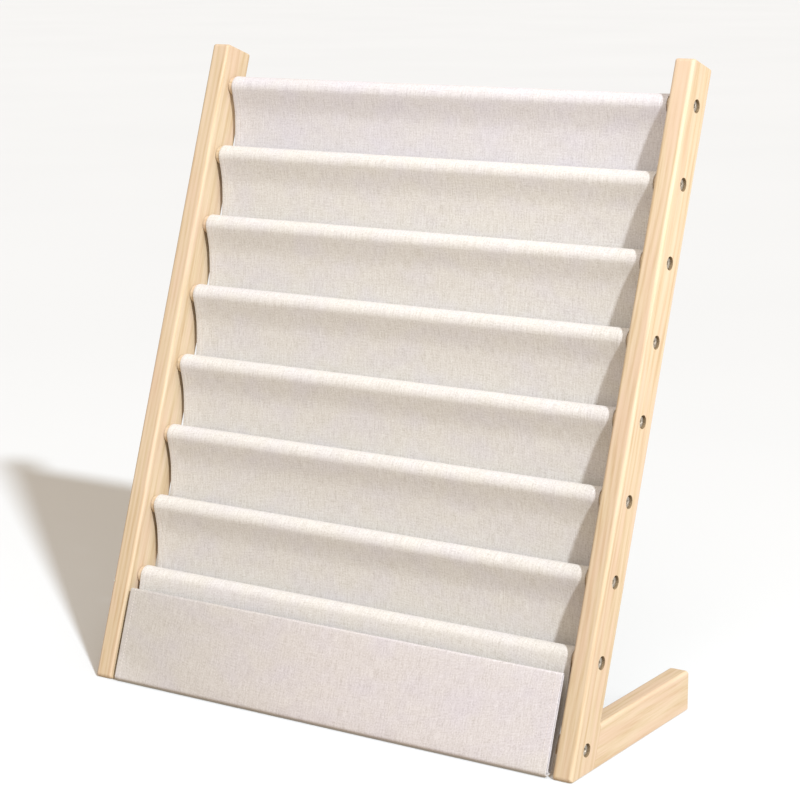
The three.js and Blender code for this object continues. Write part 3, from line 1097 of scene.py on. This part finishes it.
def close_with_copies(
    tree: Tree, points: Socket, rotation: Socket, pattern: Socket, material: Socket, result: str
) -> None:
    """Ends a tree with a dressed copy of the pattern on each point, all of them real mesh.

    Args:
        tree: the tree.
        points: where the copies go.
        rotation: how each is turned.
        pattern: the object that is copied.
        material: what the copies are dressed in.
        result: the name of the geometry that comes out.
    """
    one = add_node(tree, "GeometryNodeObjectInfo", {"Object": pattern}, "Geometry")
    feeds = {"Points": points, "Instance": one, "Rotation": rotation}
    copies = add_node(tree, "GeometryNodeInstanceOnPoints", feeds)
    real = add_node(tree, "GeometryNodeRealizeInstances", {"Geometry": copies})
    dressed = add_node(tree, "GeometryNodeSetMaterial", {"Geometry": real, "Material": material})
    add_node(tree, "NodeGroupOutput", {result: dressed})


def run_tree(piece: Piece, tree: bpy.types.GeometryNodeTree, values: dict[str, object]) -> None:
    """Runs a Geometry Nodes tree on a piece and keeps the result as its plain mesh.

    Args:
        piece: the object whose mesh goes in.
        tree: the tree.
        values: what each named input is set to.
    """
    modifier = piece.modifiers.new(tree.name, "NODES")
    modifier.node_group = tree
    for item in tree.interface.items_tree:
        if item.in_out == "INPUT" and item.name in values:
            modifier[item.identifier] = values[item.name]
    settle(piece)
    bpy.data.node_groups.remove(tree)


@dataclass(frozen=True)
class CopiesOnPoints:
    """One pattern set on each of many points as one mesh, each copy spun at random about its own X."""

    name: str
    spin: float
    seed: int

    def tree(self) -> bpy.types.GeometryNodeTree:
        """Builds the Geometry Nodes tree.

        Returns:
            The tree, with inputs for the pattern, its spin, the seed and the material.
        """
        inputs = {
            "Points": "Geometry",
            "Pattern": "Object",
            "Spin": "Float",
            "Seed": "Int",
            "Material": "Material",
        }
        tree, given = open_tree(self.name, inputs, "Copies")
        turn = add_node(tree, "GeometryNodeInputNamedAttribute", {"Name": "turn"}, data_type="FLOAT_VECTOR")
        draw = {2: 0.0, 3: given["Spin"], "Seed": given["Seed"]}
        spun = add_node(tree, "FunctionNodeRandomValue", draw, 1, data_type="FLOAT")
        about_axis = add_node(tree, "ShaderNodeCombineXYZ", {"X": spun})
        both = add_node(tree, "ShaderNodeVectorMath", {0: turn, 1: about_axis}, operation="ADD")
        rotation = add_node(tree, "FunctionNodeEulerToRotation", {0: both})
        close_with_copies(tree, given["Points"], rotation, given["Pattern"], given["Material"], "Copies")
        return tree

    def place(
        self, name: str, points: Sequence[Vector], turns: Sequence[Vector], pattern: Piece, material: Material
    ) -> Piece:
        """Sets the pattern on the points and makes the result one plain mesh.

        Args:
            name: the new object's name.
            points: where the copies go.
            turns: how each copy is turned, as XYZ angles.
            pattern: the object that is copied. It is thrown away.
            material: what the copies are dressed in.

        Returns:
            The copies as one object.
        """
        made = object_from(name, points)
        turn = made.data.attributes.new("turn", "FLOAT_VECTOR", "POINT")
        for k, value in enumerate(turns):
            turn.data[k].vector = value
        values = {"Pattern": pattern, "Spin": self.spin, "Seed": self.seed, "Material": material}
        run_tree(made, self.tree(), values)
        throw_away(pattern)
        return made


@dataclass
class Rods:
    """The nine turned rods between the posts."""

    plan: ShelfPlan
    finishes: Finishes
    chamfer: float = 1 * MM
    bore: float = 10 * MM
    bore_depth: float = 21 * MM
    sides: int = 48
    spin_seed: int = 3

    def build(self) -> None:
        """Builds, dresses and places the rods as one piece."""
        half = self.plan.inner_width / 2 - self.plan.fit_gap
        radius = self.plan.rod_diameter / 2
        right = [
            (radius, half - self.chamfer),
            (radius - self.chamfer, half),
            (self.bore / 2, half),
            (self.bore / 2, half - self.bore_depth),
            (0.0, half - self.bore_depth),
        ]
        left = [(r, -x) for r, x in reversed(right)]
        pattern = object_from("rod_pattern", *turned([*left, *right], self.sides))
        face_outwards(pattern)
        smooth_by_angle(pattern, HARD_CREASE)
        points = [Vector((0, c.x, c.y)) for c in self.plan.rod_centres]
        copies = CopiesOnPoints("rods down the posts", spin=2 * math.pi, seed=self.spin_seed)
        level = [Vector((0, 0, 0))] * len(points)
        rods = copies.place("rods", points, level, pattern, self.finishes.rod)
        mount(rods, nodes_named("rod_", "bottom_rod"))


@dataclass
class Bolts:
    """The connector bolts that hold the rods to the posts, nine on each side."""

    plan: ShelfPlan
    finishes: Finishes
    shank: float = 6 * MM
    length: float = 35 * MM
    shank_chamfer: float = 0.8 * MM
    head: float = 12 * MM
    head_height: float = 3 * MM
    head_rounding: float = 0.8 * MM
    rounding_steps: int = 4
    key: float = 4 * MM
    key_chamfer: float = 0.25 * MM
    key_depth: float = 2 * MM
    # The key's hexagon looks the same after each turn by this angle, so no bolt is spun further.
    key_sector: float = math.radians(60)
    sides: int = 36
    spin_seed: int = 11

    def build(self) -> None:
        """Builds, dresses and places the bolts as one piece."""
        seat = self.plan.overall_width / 2 - self.plan.bolt_seat + self.plan.fit_gap
        points: list[Vector] = []
        turns: list[Vector] = []
        for side in Side:
            points.extend(Vector((side.value * seat, c.x, c.y)) for c in self.plan.rod_centres)
            half_turn = Vector((0, 0, 0 if side is Side.RIGHT else math.pi))
            turns.extend([half_turn] * len(self.plan.rises))
        copies = CopiesOnPoints("bolts down the posts", spin=self.key_sector, seed=self.spin_seed)
        bolts = copies.place("bolts", points, turns, self._pattern(), self.finishes.steel)
        mount(bolts, nodes_named(*[f"{side.word}_bolt_" for side in Side]))

    def _pattern(self) -> Piece:
        """One bolt, its head's underside at X = 0 and its shank running inwards.

        Returns:
            The bolt.
        """
        top, rounding = self.head_height, self.head_rounding
        edge, level = self.head / 2 - rounding, top - rounding
        quarter = [QUARTER_TURN * k / self.rounding_steps for k in range(self.rounding_steps + 1)]
        profile = [
            (0.0, -self.length),
            (self.shank / 2 - self.shank_chamfer, -self.length),
            (self.shank / 2, self.shank_chamfer - self.length),
            (self.shank / 2, 0.0),
            (self.head / 2, 0.0),
            *[(edge + rounding * math.cos(a), level + rounding * math.sin(a)) for a in quarter],
        ]
        places, faces = turned(profile, self.sides)
        rim = len(places) - self.sides
        mouth = (self.key + 2 * self.key_chamfer, top)
        throat, floor = (self.key, top - self.key_chamfer), (self.key, top - self.key_depth)
        for across_flats, x in (mouth, throat, floor):
            places.extend(self._hexagon(across_flats, x))
        faces.extend(skin(4, self.sides, rim))
        faces.append(tuple(range(len(places) - self.sides, len(places))))
        bolt = object_from("bolt_pattern", places, faces)
        face_outwards(bolt)
        smooth_by_angle(bolt, HARD_CREASE)
        return bolt

    def _hexagon(self, across_flats: float, x: float) -> list[Vector]:
        """A hexagon with as many points as the head has sides.

        Args:
            across_flats: its size between two flats.
            x: its place along the bolt.

        Returns:
            The points in order.
        """
        points = []
        for k in range(self.sides):
            angle = 2 * math.pi * k / self.sides
            off_flat = (angle % self.key_sector) - self.key_sector / 2
            radius = across_flats / 2 / math.cos(off_flat)
            points.append(Vector((x, radius * math.cos(angle), radius * math.sin(angle))))
        return points


@dataclass(frozen=True)
class StripPoint:
    """A point of the strip's middle line in side view, and how far the cloth can ripple there, 0 to 1."""

    at: Vector
    slack: float


@dataclass(frozen=True)
class ClothPoint:
    """A point on the cloth: its place, where it faces, its place on the flat strip, and its slack."""

    place: Vector
    facing: Vector
    flat: Vector
    slack: float


@dataclass
class CanvasStrip:
    """The one long strip of canvas with its turned hems, sleeve, pockets and front panel."""

    plan: ShelfPlan
    finishes: Finishes
    thickness: float = 1 * MM
    side_gap: float = 6 * MM
    pocket_gap: float = 6 * MM
    pocket_depth: float = 58 * MM
    pocket_belly: float = 15 * MM
    pocket_sag: float = 3 * MM
    wall_bow: float = 3 * MM
    wall_lean: float = math.radians(11)
    rear_swing: float = math.radians(14)
    front_swing: float = math.radians(10)
    rear_bow: float = 4.5 * MM
    top_hem: float = 10 * MM
    top_hem_spans: int = 4
    panel_proud: float = 2 * MM
    panel_top: float = 104.5 * MM
    floor_gap: float = 2 * MM
    stiffener: float = 2 * MM
    fold_radius: float = 3 * MM
    bow_height_share: float = 0.48
    bow_pull_share: float = 0.32
    belly_pull_share: float = 0.3
    arc_step: float = math.radians(11)
    wall_spans: int = 10
    column_spacing: float = 13 * MM
    held_margin: float = 2 * MM
    free_margin: float = 26 * MM
    ripple_depth: float = 0.9 * MM
    ripple_width: float = 150 * MM
    ripple_height: float = 60 * MM
    ripple_seed: float = 5.0
    side_seam: float = 6.8 * MM
    top_seam: float = 7 * MM
    # A side hem from the strip's edge inwards: how far in, the front's and the back's height in millimetres
    # over the middle line. The dip is where the stitches pull the layers together.
    hem_profile: tuple[Triple, ...] = (
        (0.1, 0.36, 0.3),
        (0.35, 0.6, 0.44),
        (0.8, 0.7, 0.5),
        (3.0, 0.74, 0.5),
        (5.4, 0.7, 0.5),
        (6.2, 0.6, 0.5),
        (6.8, 0.5, 0.48),
        (7.4, 0.6, 0.5),
        (8.8, 0.66, 0.5),
        (9.6, 0.58, 0.5),
        (10.4, 0.5, 0.5),
    )

    @property
    def width(self) -> float:
        """The strip's width between its hemmed edges."""
        return self.plan.inner_width - 2 * self.side_gap

    @cached_property
    def length(self) -> float:
        """The length of the strip's middle line."""
        line = self._line(0.0)
        return sum((b.at - a.at).length for a, b in zip(line, line[1:]))

    @property
    def wrap(self) -> float:
        """The radius of the strip's middle line over a rod."""
        return self.plan.rod_diameter / 2 + self.plan.fit_gap + self.thickness / 2

    @property
    def rear_fall(self) -> Vector:
        """The side-view direction in which the cloth leaves the back of a rod."""
        return Vector((math.sin(self.rear_swing), -math.cos(self.rear_swing)))

    def build(self) -> None:
        strip = self._strip()
        stitches = Stitches(self).build()
        mount(strip, nodes_named("sling_", "front_pocket"))
        flat = (self.width, self.length)
        LOG.info("the strip is %.0f mm wide and %.0f mm long when flat", *(side / MM for side in flat))

    def _freed(self, points: Iterable[Vector], rods: Sequence[Vector]) -> list[StripPoint]:
        """Gives points their slack: none on a rod, and all of it well away from every rod.

        Args:
            points: side-view points.
            rods: the rods near them.

        Returns:
            The strip points.
        """
        near, far = self.wrap + self.held_margin, self.wrap + self.free_margin
        made = []
        for point in points:
            off = min((point - rod).length for rod in rods)
            share = min(max((off - near) / (far - near), 0.0), 1.0)
            made.append(StripPoint(point.copy(), share * share * (3 - 2 * share)))
        return made

    def _pocket_line(self, number: int, start: float, sag: float) -> list[StripPoint]:
        """The middle line from over one rod, down the rear wall and round the belly to behind the next.

        Args:
            number: which pocket, counted from 1 at the top.
            start: the angle on the rear rod where the line begins.
            sag: how much lower than at the sides the belly hangs here.

        Returns:
            The line's points.
        """
        rear, front = self.plan.rod_centre(number), self.plan.rod_centre(number + 1)
        leave = on_circle(rear, self.wrap, math.pi + self.rear_swing)
        meet = on_circle(front, self.wrap, -self.front_swing)
        wall = front.x + self.wrap + self.pocket_gap + self.thickness
        height = leave.y - front.y
        pull = height * self.bow_pull_share
        bow = Vector((wall + self.wall_bow, front.y + height * self.bow_height_share))
        beside = Vector((wall, front.y))
        radius = self.pocket_belly / 2
        belly = Vector(((meet.x + wall) / 2, front.y - self.pocket_depth - sag + radius))
        reach = self.pocket_depth * self.belly_pull_share
        arriving = Vector((math.sin(self.front_swing), math.cos(self.front_swing))) * reach
        low_back, low_front = on_circle(belly, radius, 0), on_circle(belly, radius, math.pi)
        up_half, up_reach = Vector((0, pull / 2)), Vector((0, reach))
        rising = Vector((math.sin(self.wall_lean), math.cos(self.wall_lean)))
        spans = self.wall_spans
        runs = [
            arc(rear, self.wrap, start, math.pi + self.rear_swing, self.arc_step),
            bezier(leave, leave + self.rear_fall * pull, bow + up_half, bow, spans),
            bezier(bow, bow - up_half, beside + rising * (pull / 2), beside, spans),
            bezier(beside, beside - rising * reach, low_back + up_reach, low_back, spans),
            arc(belly, radius, 0, -math.pi, self.arc_step * 2),
            bezier(low_front, low_front + up_reach, meet - arriving, meet, spans),
        ]
        points = [*runs[0], *(point for run in runs[1:] for point in run[1:])]
        return self._freed(points, [rear, front])

    def _front_line(self) -> list[StripPoint]:
        """The middle line over the lowest cloth rod, down to the floor, up the panel and over its top.

        Returns:
            The line's points.
        """
        plan = self.plan
        rod = plan.rod_centre(plan.cloth_rods)
        wall = plan.board_width / 2 - self.wrap
        front = self.thickness / 2 - self.panel_proud
        hem = front + self.stiffener + self.thickness + 2 * plan.fit_gap
        level = self.floor_gap + self.thickness / 2
        top = self.panel_top - self.thickness / 2
        low = plan.along_at_height(level + self.fold_radius, front + self.fold_radius) + plan.fit_gap
        # The bowed wall leaves the rod a little further round than a straight one would.
        swing = math.atan(math.pi * self.rear_bow / plan.bottom_pitch)
        points = arc(rod, self.wrap, -self.front_swing, math.pi - plan.lean + swing, self.arc_step)
        corners = [
            on_circle(rod, self.wrap, math.pi - plan.lean),
            plan.on_post(plan.along_at_height(level, wall), wall),
            plan.on_post(plan.along_at_height(level, front), front),
            plan.on_post(top, front),
            plan.on_post(top, hem),
            plan.on_post(low, hem),
        ]
        radii = [self.fold_radius, self.fold_radius, (hem - front) / 2, (hem - front) / 2]
        for k, radius in enumerate(radii):
            bend = rounded(*corners[k : k + 3], radius, self.arc_step * 2)
            if k == 0:
                points.extend(self._bowed(self._spaced(corners[0], bend[0])))
            else:
                points.extend(self._spaced(points[-1], bend[0]))
            points.extend(bend)
        points.extend(self._spaced(points[-1], corners[-1]))
        return [StripPoint(p, 0.0) for p in [*points, corners[-1]]]

    def _bowed(self, points: Iterable[Vector]) -> list[Vector]:
        """Lets the wall behind the front panel sag back between the lowest cloth rod and the bottom rod.

        Args:
            points: the wall's points while it is straight.

        Returns:
            The points once it has sagged.
        """
        high, low = self.plan.rod_centres[-2:]
        made = []
        for point in points:
            share = min(max((point.y - low.y) / (high.y - low.y), 0.0), 1.0)
            made.append(point + self.plan.back * (self.rear_bow * math.sin(math.pi * share)))
        return made

    def _spaced(self, start: Vector, end: Vector) -> list[Vector]:
        """Points between two others, no more than a column's width apart, without the two."""
        count = max(1, math.ceil((end - start).length / self.column_spacing))
        return [start.lerp(end, k / count) for k in range(1, count)]

    def _line(self, from_middle: float) -> list[StripPoint]:
        """The strip's whole middle line at one place across the shelf.

        Args:
            from_middle: the place, from -1 at the left edge to 1 at the right edge.

        Returns:
            The line's points, from the top hem to the end behind the stiffener.
        """
        sag = self.pocket_sag * (1 - from_middle * from_middle)
        inset = self.wrap - self.thickness - self.plan.fit_gap
        start = math.pi + self.rear_swing + math.acos(inset / self.wrap) - 2 * math.pi
        corner = on_circle(self.plan.rod_centre(1), self.wrap, start)
        spans = self.top_hem_spans
        line = [
            StripPoint(corner + self.rear_fall * (self.top_hem * k / spans), 0.0) for k in range(spans, 0, -1)
        ]
        for number in range(1, self.plan.cloth_rods):
            begin = start if number == 1 else -self.front_swing
            run = self._pocket_line(number, begin, sag)
            line.extend(run if number == 1 else run[1:])
        line.extend(self._front_line()[1:])
        return line

    def columns(self) -> list[Triple]:
        """The places across the strip with the height of its front and back over the middle line.

        Returns:
            Place on X, front height and back height of each column, both edges left out.
        """
        hem = [(self.width / 2 - into * MM, front * MM, back * MM) for into, front, back in self.hem_profile]
        inner, half = hem[-1][0], self.thickness / 2
        count = math.ceil(2 * inner / self.column_spacing)
        flat = [(inner - 2 * inner * k / count, half, half) for k in range(1, count)]
        return [*hem, *flat, *((-x, front, back) for x, front, back in reversed(hem))]

    def surface(self, x: float, height: float) -> list[ClothPoint]:
        """The strip's points at one place across.

        Args:
            x: the place across.
            height: how far over the middle line the points lie, below 0 for the front.

        Returns:
            The points, from the top hem to the strip's end.
        """
        line = self._line(2 * x / self.width)
        made = []
        travelled = 0.0
        for k, point in enumerate(line):
            before, after = line[max(k - 1, 0)].at, line[min(k + 1, len(line) - 1)].at
            along = (after - before).normalized()
            facing = Vector((-along.y, along.x))
            if k:
                travelled += (point.at - line[k - 1].at).length
            at = point.at + facing * height
            place, outward = Vector((x, at.x, at.y)), Vector((0, facing.x, facing.y))
            made.append(ClothPoint(place, outward, Vector((x, travelled, 0)), point.slack))
        return made

    def _strip(self) -> Piece:
        """Builds the strip as one closed cloth with rounded side edges.

        Returns:
            The strip.
        """
        half = self.width / 2
        columns = self.columns()
        fronts = [(x, -front) for x, front, _ in columns]
        backs = [(x, back) for x, _, back in reversed(columns)]
        loop = [self.surface(x, height) for x, height in [(half, 0.0), *fronts, (-half, 0.0), *backs]]
        rows, around = len(loop[0]), len(loop)
        points = [loop[c][r] for r in range(rows) for c in range(around)]
        faces = skin(rows, around)
        for first in (0, (rows - 1) * around):
            faces.extend(self._end_faces(first, around))
        strip = object_from("canvas_strip", [p.place for p in points], faces)
        write_cloth_attributes(strip, points)
        self.ripple(strip)
        face_outwards(strip, weld=False)
        dress(strip, LinenCanvas("linen_canvas", self.width, self.length).material())
        smooth_by_angle(strip, CLOTH_CREASE)
        return strip

    @staticmethod
    def _end_faces(first: int, around: int) -> Faces:
        """Closes one cut end of the strip with faces between its front and its back.

        Args:
            first: the index of the end's first point.
            around: how many points the end has.

        Returns:
            The faces.
        """
        half = around // 2
        faces: Faces = [(first, first + 1, first + around - 1)]
        for k in range(1, half - 1):
            faces.append((first + k, first + k + 1, first + around - k - 1, first + around - k))
        faces.append((first + half - 1, first + half, first + half + 1))
        return faces

    def ripple(self, piece: Piece) -> None:
        """Lets the free parts of the cloth, or of a seam on it, ripple a little."""
        sizes = {"Depth": self.ripple_depth, "Width": self.ripple_width, "Height": self.ripple_height}
        run_tree(piece, ripple_tree(), {**sizes, "Seed": self.ripple_seed})


def write_cloth_attributes(piece: Piece, points: Sequence[ClothPoint]) -> None:
    """Stores on each vertex where it faces, its place on the flat strip and its slack.

    Args:
        piece: the cloth or a seam on it.
        points: the point that each vertex stands for.
    """
    kept = {
        "facing": ("FLOAT_VECTOR", "vector", [c for p in points for c in p.facing]),
        "flat_place": ("FLOAT_VECTOR", "vector", [c for p in points for c in p.flat]),
        "slack": ("FLOAT", "value", [p.slack for p in points]),
    }
    for name, (kind, _, _) in kept.items():
        piece.data.attributes.new(name, kind, "POINT")
    for name, (_, key, values) in kept.items():
        piece.data.attributes[name].data.foreach_set(key, values)


def ripple_tree() -> bpy.types.GeometryNodeTree:
    """Builds the tree that moves each point along its facing by a slow noise on the flat strip.

    Returns:
        The tree, with inputs for the ripple's depth, width, height and seed.
    """
    sizes = dict.fromkeys(("Depth", "Width", "Height", "Seed"), "Float")
    tree, given = open_tree("canvas ripple", {"Cloth": "Geometry", **sizes}, "Rippled")
    kinds = {"flat_place": "FLOAT_VECTOR", "facing": "FLOAT_VECTOR", "slack": "FLOAT"}
    flat, facing, slack = (
        add_node(tree, "GeometryNodeInputNamedAttribute", {"Name": name}, data_type=kind)
        for name, kind in kinds.items()
    )
    cell = add_node(tree, "ShaderNodeCombineXYZ", {"X": given["Width"], "Y": given["Height"], "Z": 1.0})
    cells = add_node(tree, "ShaderNodeVectorMath", {0: flat, 1: cell}, operation="DIVIDE")
    layer = add_node(tree, "ShaderNodeCombineXYZ", {"Z": given["Seed"]})
    spread = add_node(tree, "ShaderNodeVectorMath", {0: cells, 1: layer}, operation="ADD")
    wave = add_node(tree, "ShaderNodeTexNoise", {"Vector": spread, "Scale": 1.0, "Detail": 2.0})
    height = add_node(tree, "ShaderNodeMath", {0: wave, 1: NOISE_MIDDLE}, operation="SUBTRACT")
    # The noise swings half a unit each way, so it is doubled to reach the full depth.
    for factor in (given["Depth"], 2.0, slack):
        height = add_node(tree, "ShaderNodeMath", {0: height, 1: factor}, operation="MULTIPLY")
    shift = add_node(tree, "ShaderNodeVectorMath", {0: facing, 3: height}, operation="SCALE")
    moved = add_node(tree, "GeometryNodeSetPosition", {"Geometry": given["Cloth"], "Offset": shift})
    add_node(tree, "NodeGroupOutput", {"Rippled": moved})
    return tree


@dataclass
class Stitches:
    """The lock stitches along the side hems and the top sleeve."""

    strip: CanvasStrip
    pitch: float = 3.4 * MM
    length: float = 2.5 * MM
    thread: float = 0.5 * MM
    thread_sides: int = 5
    full_share: float = 0.6
    side_clearance: float = 4.5 * MM

    def build(self) -> Piece:
        """Builds and dresses the stitches as one piece.

        Returns:
            The stitches.
        """
        points: list[ClothPoint] = []
        edges: list[tuple[int, int]] = []
        for run in self._seams():
            first = len(points)
            points.extend(run)
            edges.extend((k, k + 1) for k in range(first, first + len(run) - 1))
        stitches = object_from("stitches", [p.place for p in points], edges=edges)
        write_cloth_attributes(stitches, points)
        self.strip.ripple(stitches)
        pattern = self._pattern()
        values = {"Pitch": self.pitch, "Stitch": pattern, "Thread": self.strip.finishes.thread}
        run_tree(stitches, stitch_tree(), values)
        throw_away(pattern)
        smooth_by_angle(stitches, CLOTH_CREASE)
        mount(stitches)
        return stitches

    def _seams(self) -> list[list[ClothPoint]]:
        """Every seam as a run of points on the cloth, on its front and on its back.

        Returns:
            The runs.
        """
        strip = self.strip
        edge = strip.width / 2 - strip.side_seam
        half = strip.thickness / 2
        runs = [strip.surface(x, height) for x in (-edge, edge) for height in (-half, half)]
        across = [x for x, _, _ in strip.columns() if abs(x) < edge - self.side_clearance]
        top = strip.top_hem - strip.top_seam
        for height in (half, -half):
            lines = [strip.surface(x, height) for x in across]
            runs.append([min(line, key=lambda p: abs(p.flat.y - top)) for line in lines])
        return runs

    def _pattern(self) -> Piece:
        """One stitch along X, full in the middle and dipping into the cloth at its ends.

        Returns:
            The stitch.
        """
        radius, half = self.thread / 2, self.length / 2
        full = half * self.full_share
        profile = [(0.0, -half), (radius, -full), (radius, full), (0.0, half)]
        stitch = object_from("stitch_pattern", *turned(profile, self.thread_sides))
        face_outwards(stitch)
        stitch.data.shade_smooth()
        return stitch


def stitch_tree() -> bpy.types.GeometryNodeTree:
    """Builds the tree that lays a stitch on every pitch of a seam.

    Returns:
        The tree, with inputs for the pitch, the stitch and the thread.
    """
    inputs = {"Seams": "Geometry", "Pitch": "Float", "Stitch": "Object", "Thread": "Material"}
    tree, given = open_tree("stitches along seams", inputs, "Stitches")
    seam = add_node(tree, "GeometryNodeMeshToCurve", {"Mesh": given["Seams"]})
    feeds = {"Curve": seam, "Length": given["Pitch"]}
    spaced = add_node(tree, "GeometryNodeResampleCurve", feeds, mode="LENGTH")
    facing = add_node(tree, "GeometryNodeInputNamedAttribute", {"Name": "facing"}, data_type="FLOAT_VECTOR")
    upright = add_node(tree, "FunctionNodeAlignRotationToVector", {"Vector": facing}, axis="Z")
    turn = {"Rotation": upright, "Vector": add_node(tree, "GeometryNodeInputTangent")}
    laid = add_node(tree, "FunctionNodeAlignRotationToVector", turn, axis="X", pivot_axis="Z")
    close_with_copies(tree, spaced, laid, given["Stitch"], given["Thread"], "Stitches")
    return tree


@dataclass
class CarriedPieces:
    """The frame's own pieces that stay as they are and take a better finish."""

    finishes: Finishes

    def build(self) -> None:
        """Dresses the threaded inserts and the stiffener."""
        for name in nodes_named(*[f"{side.word}_insert_" for side in Side]):
            dress(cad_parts[name], self.finishes.steel)
        dress(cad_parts["front_stiffener"], self.finishes.board)
        LOG.info("inserts and stiffener dressed")


class LampKind(Enum):
    """The kinds of lamp, by the property that says how wide each looks."""

    SUN = "angle"
    AREA = "size"


@dataclass(frozen=True)
class Lamp:
    """A studio lamp that looks at the middle of the shelf.

    Attributes:
        name: its name.
        kind: a far lamp with even light, or a round one near by.
        azimuth: its direction in degrees, from the front towards the right.
        elevation: its height over the horizon in degrees.
        width: how wide it looks: an angle for a far lamp, a diameter for a near one. It softens shadows.
        energy: its power in watts, or for a far lamp its light in watts on a square metre.
        colour: its sRGB colour.
        distance: how far from the middle of the shelf it stands.
    """

    name: str
    kind: LampKind
    azimuth: float
    elevation: float
    width: float
    energy: float
    colour: str
    distance: float = 0.0

    def hang(self, middle: Vector) -> None:
        """Adds the lamp to the scene.

        Args:
            middle: the middle of the shelf.
        """
        lamp = bpy.data.lights.new(self.name, self.kind.name)
        if self.kind is LampKind.AREA:
            lamp.shape = "DISK"
        setattr(lamp, self.kind.value, self.width)
        lamp.energy, lamp.color = self.energy, linear(self.colour)[:3]
        holder = bpy.data.objects.new(self.name, lamp)
        turn = Euler((QUARTER_TURN - math.radians(self.elevation), 0, math.radians(self.azimuth)))
        holder.rotation_euler = turn
        holder.location = middle + turn.to_matrix() @ Vector((0, 0, self.distance))
        bpy.context.scene.collection.objects.link(holder)


@dataclass
class Studio:
    """A plain pale floor, soft light mostly from the right, and the camera."""

    floor_size: float = 160.0
    middle: Vector = field(default_factory=lambda: Vector((0, 0, 0.33)))
    camera_place: Vector = field(default_factory=lambda: Vector((1.29091, -1.95832, 0.81125)))
    camera_yaw: float = 0.5825
    camera_pitch: float = 0.2089
    camera_roll: float = -0.0038
    focal_pixels: float = 2264.56
    axis_pixel: Pair = (389.33, 407.97)
    frame_pixels: float = 800
    sensor: float = 36.0
    sky: str = "#ffe9d4"
    sky_strength: float = 0.68
    lamps: tuple[Lamp, ...] = (
        Lamp("sun", LampKind.SUN, 59, 36, math.radians(3.4), 4.0, "#f3f7ff"),
        Lamp("front_softbox", LampKind.AREA, 30, 57, 0.7, 3.5, "#fbfbff", distance=1.0),
        Lamp("side_softbox", LampKind.AREA, 92, 14, 0.4, 2.1, "#ffffff", distance=0.95),
    )

    def build(self) -> None:
        """Builds the floor, the camera, the lamps and the sky."""
        self._floor()
        self._camera()
        for lamp in self.lamps:
            lamp.hang(self.middle)
        world = bpy.data.worlds.new("studio")
        world.use_nodes = True
        back = world.node_tree.nodes["Background"]
        back.inputs["Color"].default_value = linear(self.sky)
        back.inputs["Strength"].default_value = self.sky_strength
        bpy.context.scene.world = world
        bpy.context.scene.view_settings.view_transform = "Standard"

    def _floor(self) -> None:
        """Lays the paper floor under the shelf."""
        half = self.floor_size / 2
        corners = [(-half, -half, 0), (half, -half, 0), (half, half, 0), (-half, half, 0)]
        floor = object_from("floor", corners, [(0, 1, 2, 3)])
        dress(floor, StudioPaper().material())
        # The floor takes shadows but throws no light back up, as a dark floor outside the picture would.
        floor.visible_diffuse = False

    def _camera(self) -> None:
        """Sets the camera where the picture was taken from."""
        lens = bpy.data.cameras.new("camera")
        lens.sensor_width = self.sensor
        lens.lens = self.focal_pixels * self.sensor / self.frame_pixels
        middle = self.frame_pixels / 2
        lens.shift_x = (middle - self.axis_pixel[0]) / self.frame_pixels
        lens.shift_y = (self.axis_pixel[1] - middle) / self.frame_pixels
        holder = bpy.data.objects.new("camera", lens)
        holder.location = self.camera_place
        turn = Euler((QUARTER_TURN - self.camera_pitch, 0, self.camera_yaw), "XYZ").to_matrix()
        roll = Euler((0, 0, self.camera_roll), "XYZ").to_matrix()
        holder.rotation_euler = (turn @ roll).to_euler()
        bpy.context.scene.collection.objects.link(holder)
        bpy.context.scene.camera = holder


def main() -> None:
    """Builds the sub-assemblies in order and reports each piece."""
    logging.basicConfig(level=logging.INFO, format="%(name)s: %(message)s")
    plan = ShelfPlan()
    finishes = Finishes()
    SideFrames(plan, finishes).build()
    Rods(plan, finishes).build()
    Bolts(plan, finishes).build()
    CanvasStrip(plan, finishes).build()
    CarriedPieces(finishes).build()
    Studio().build()


if __name__ == "__main__":
    main()
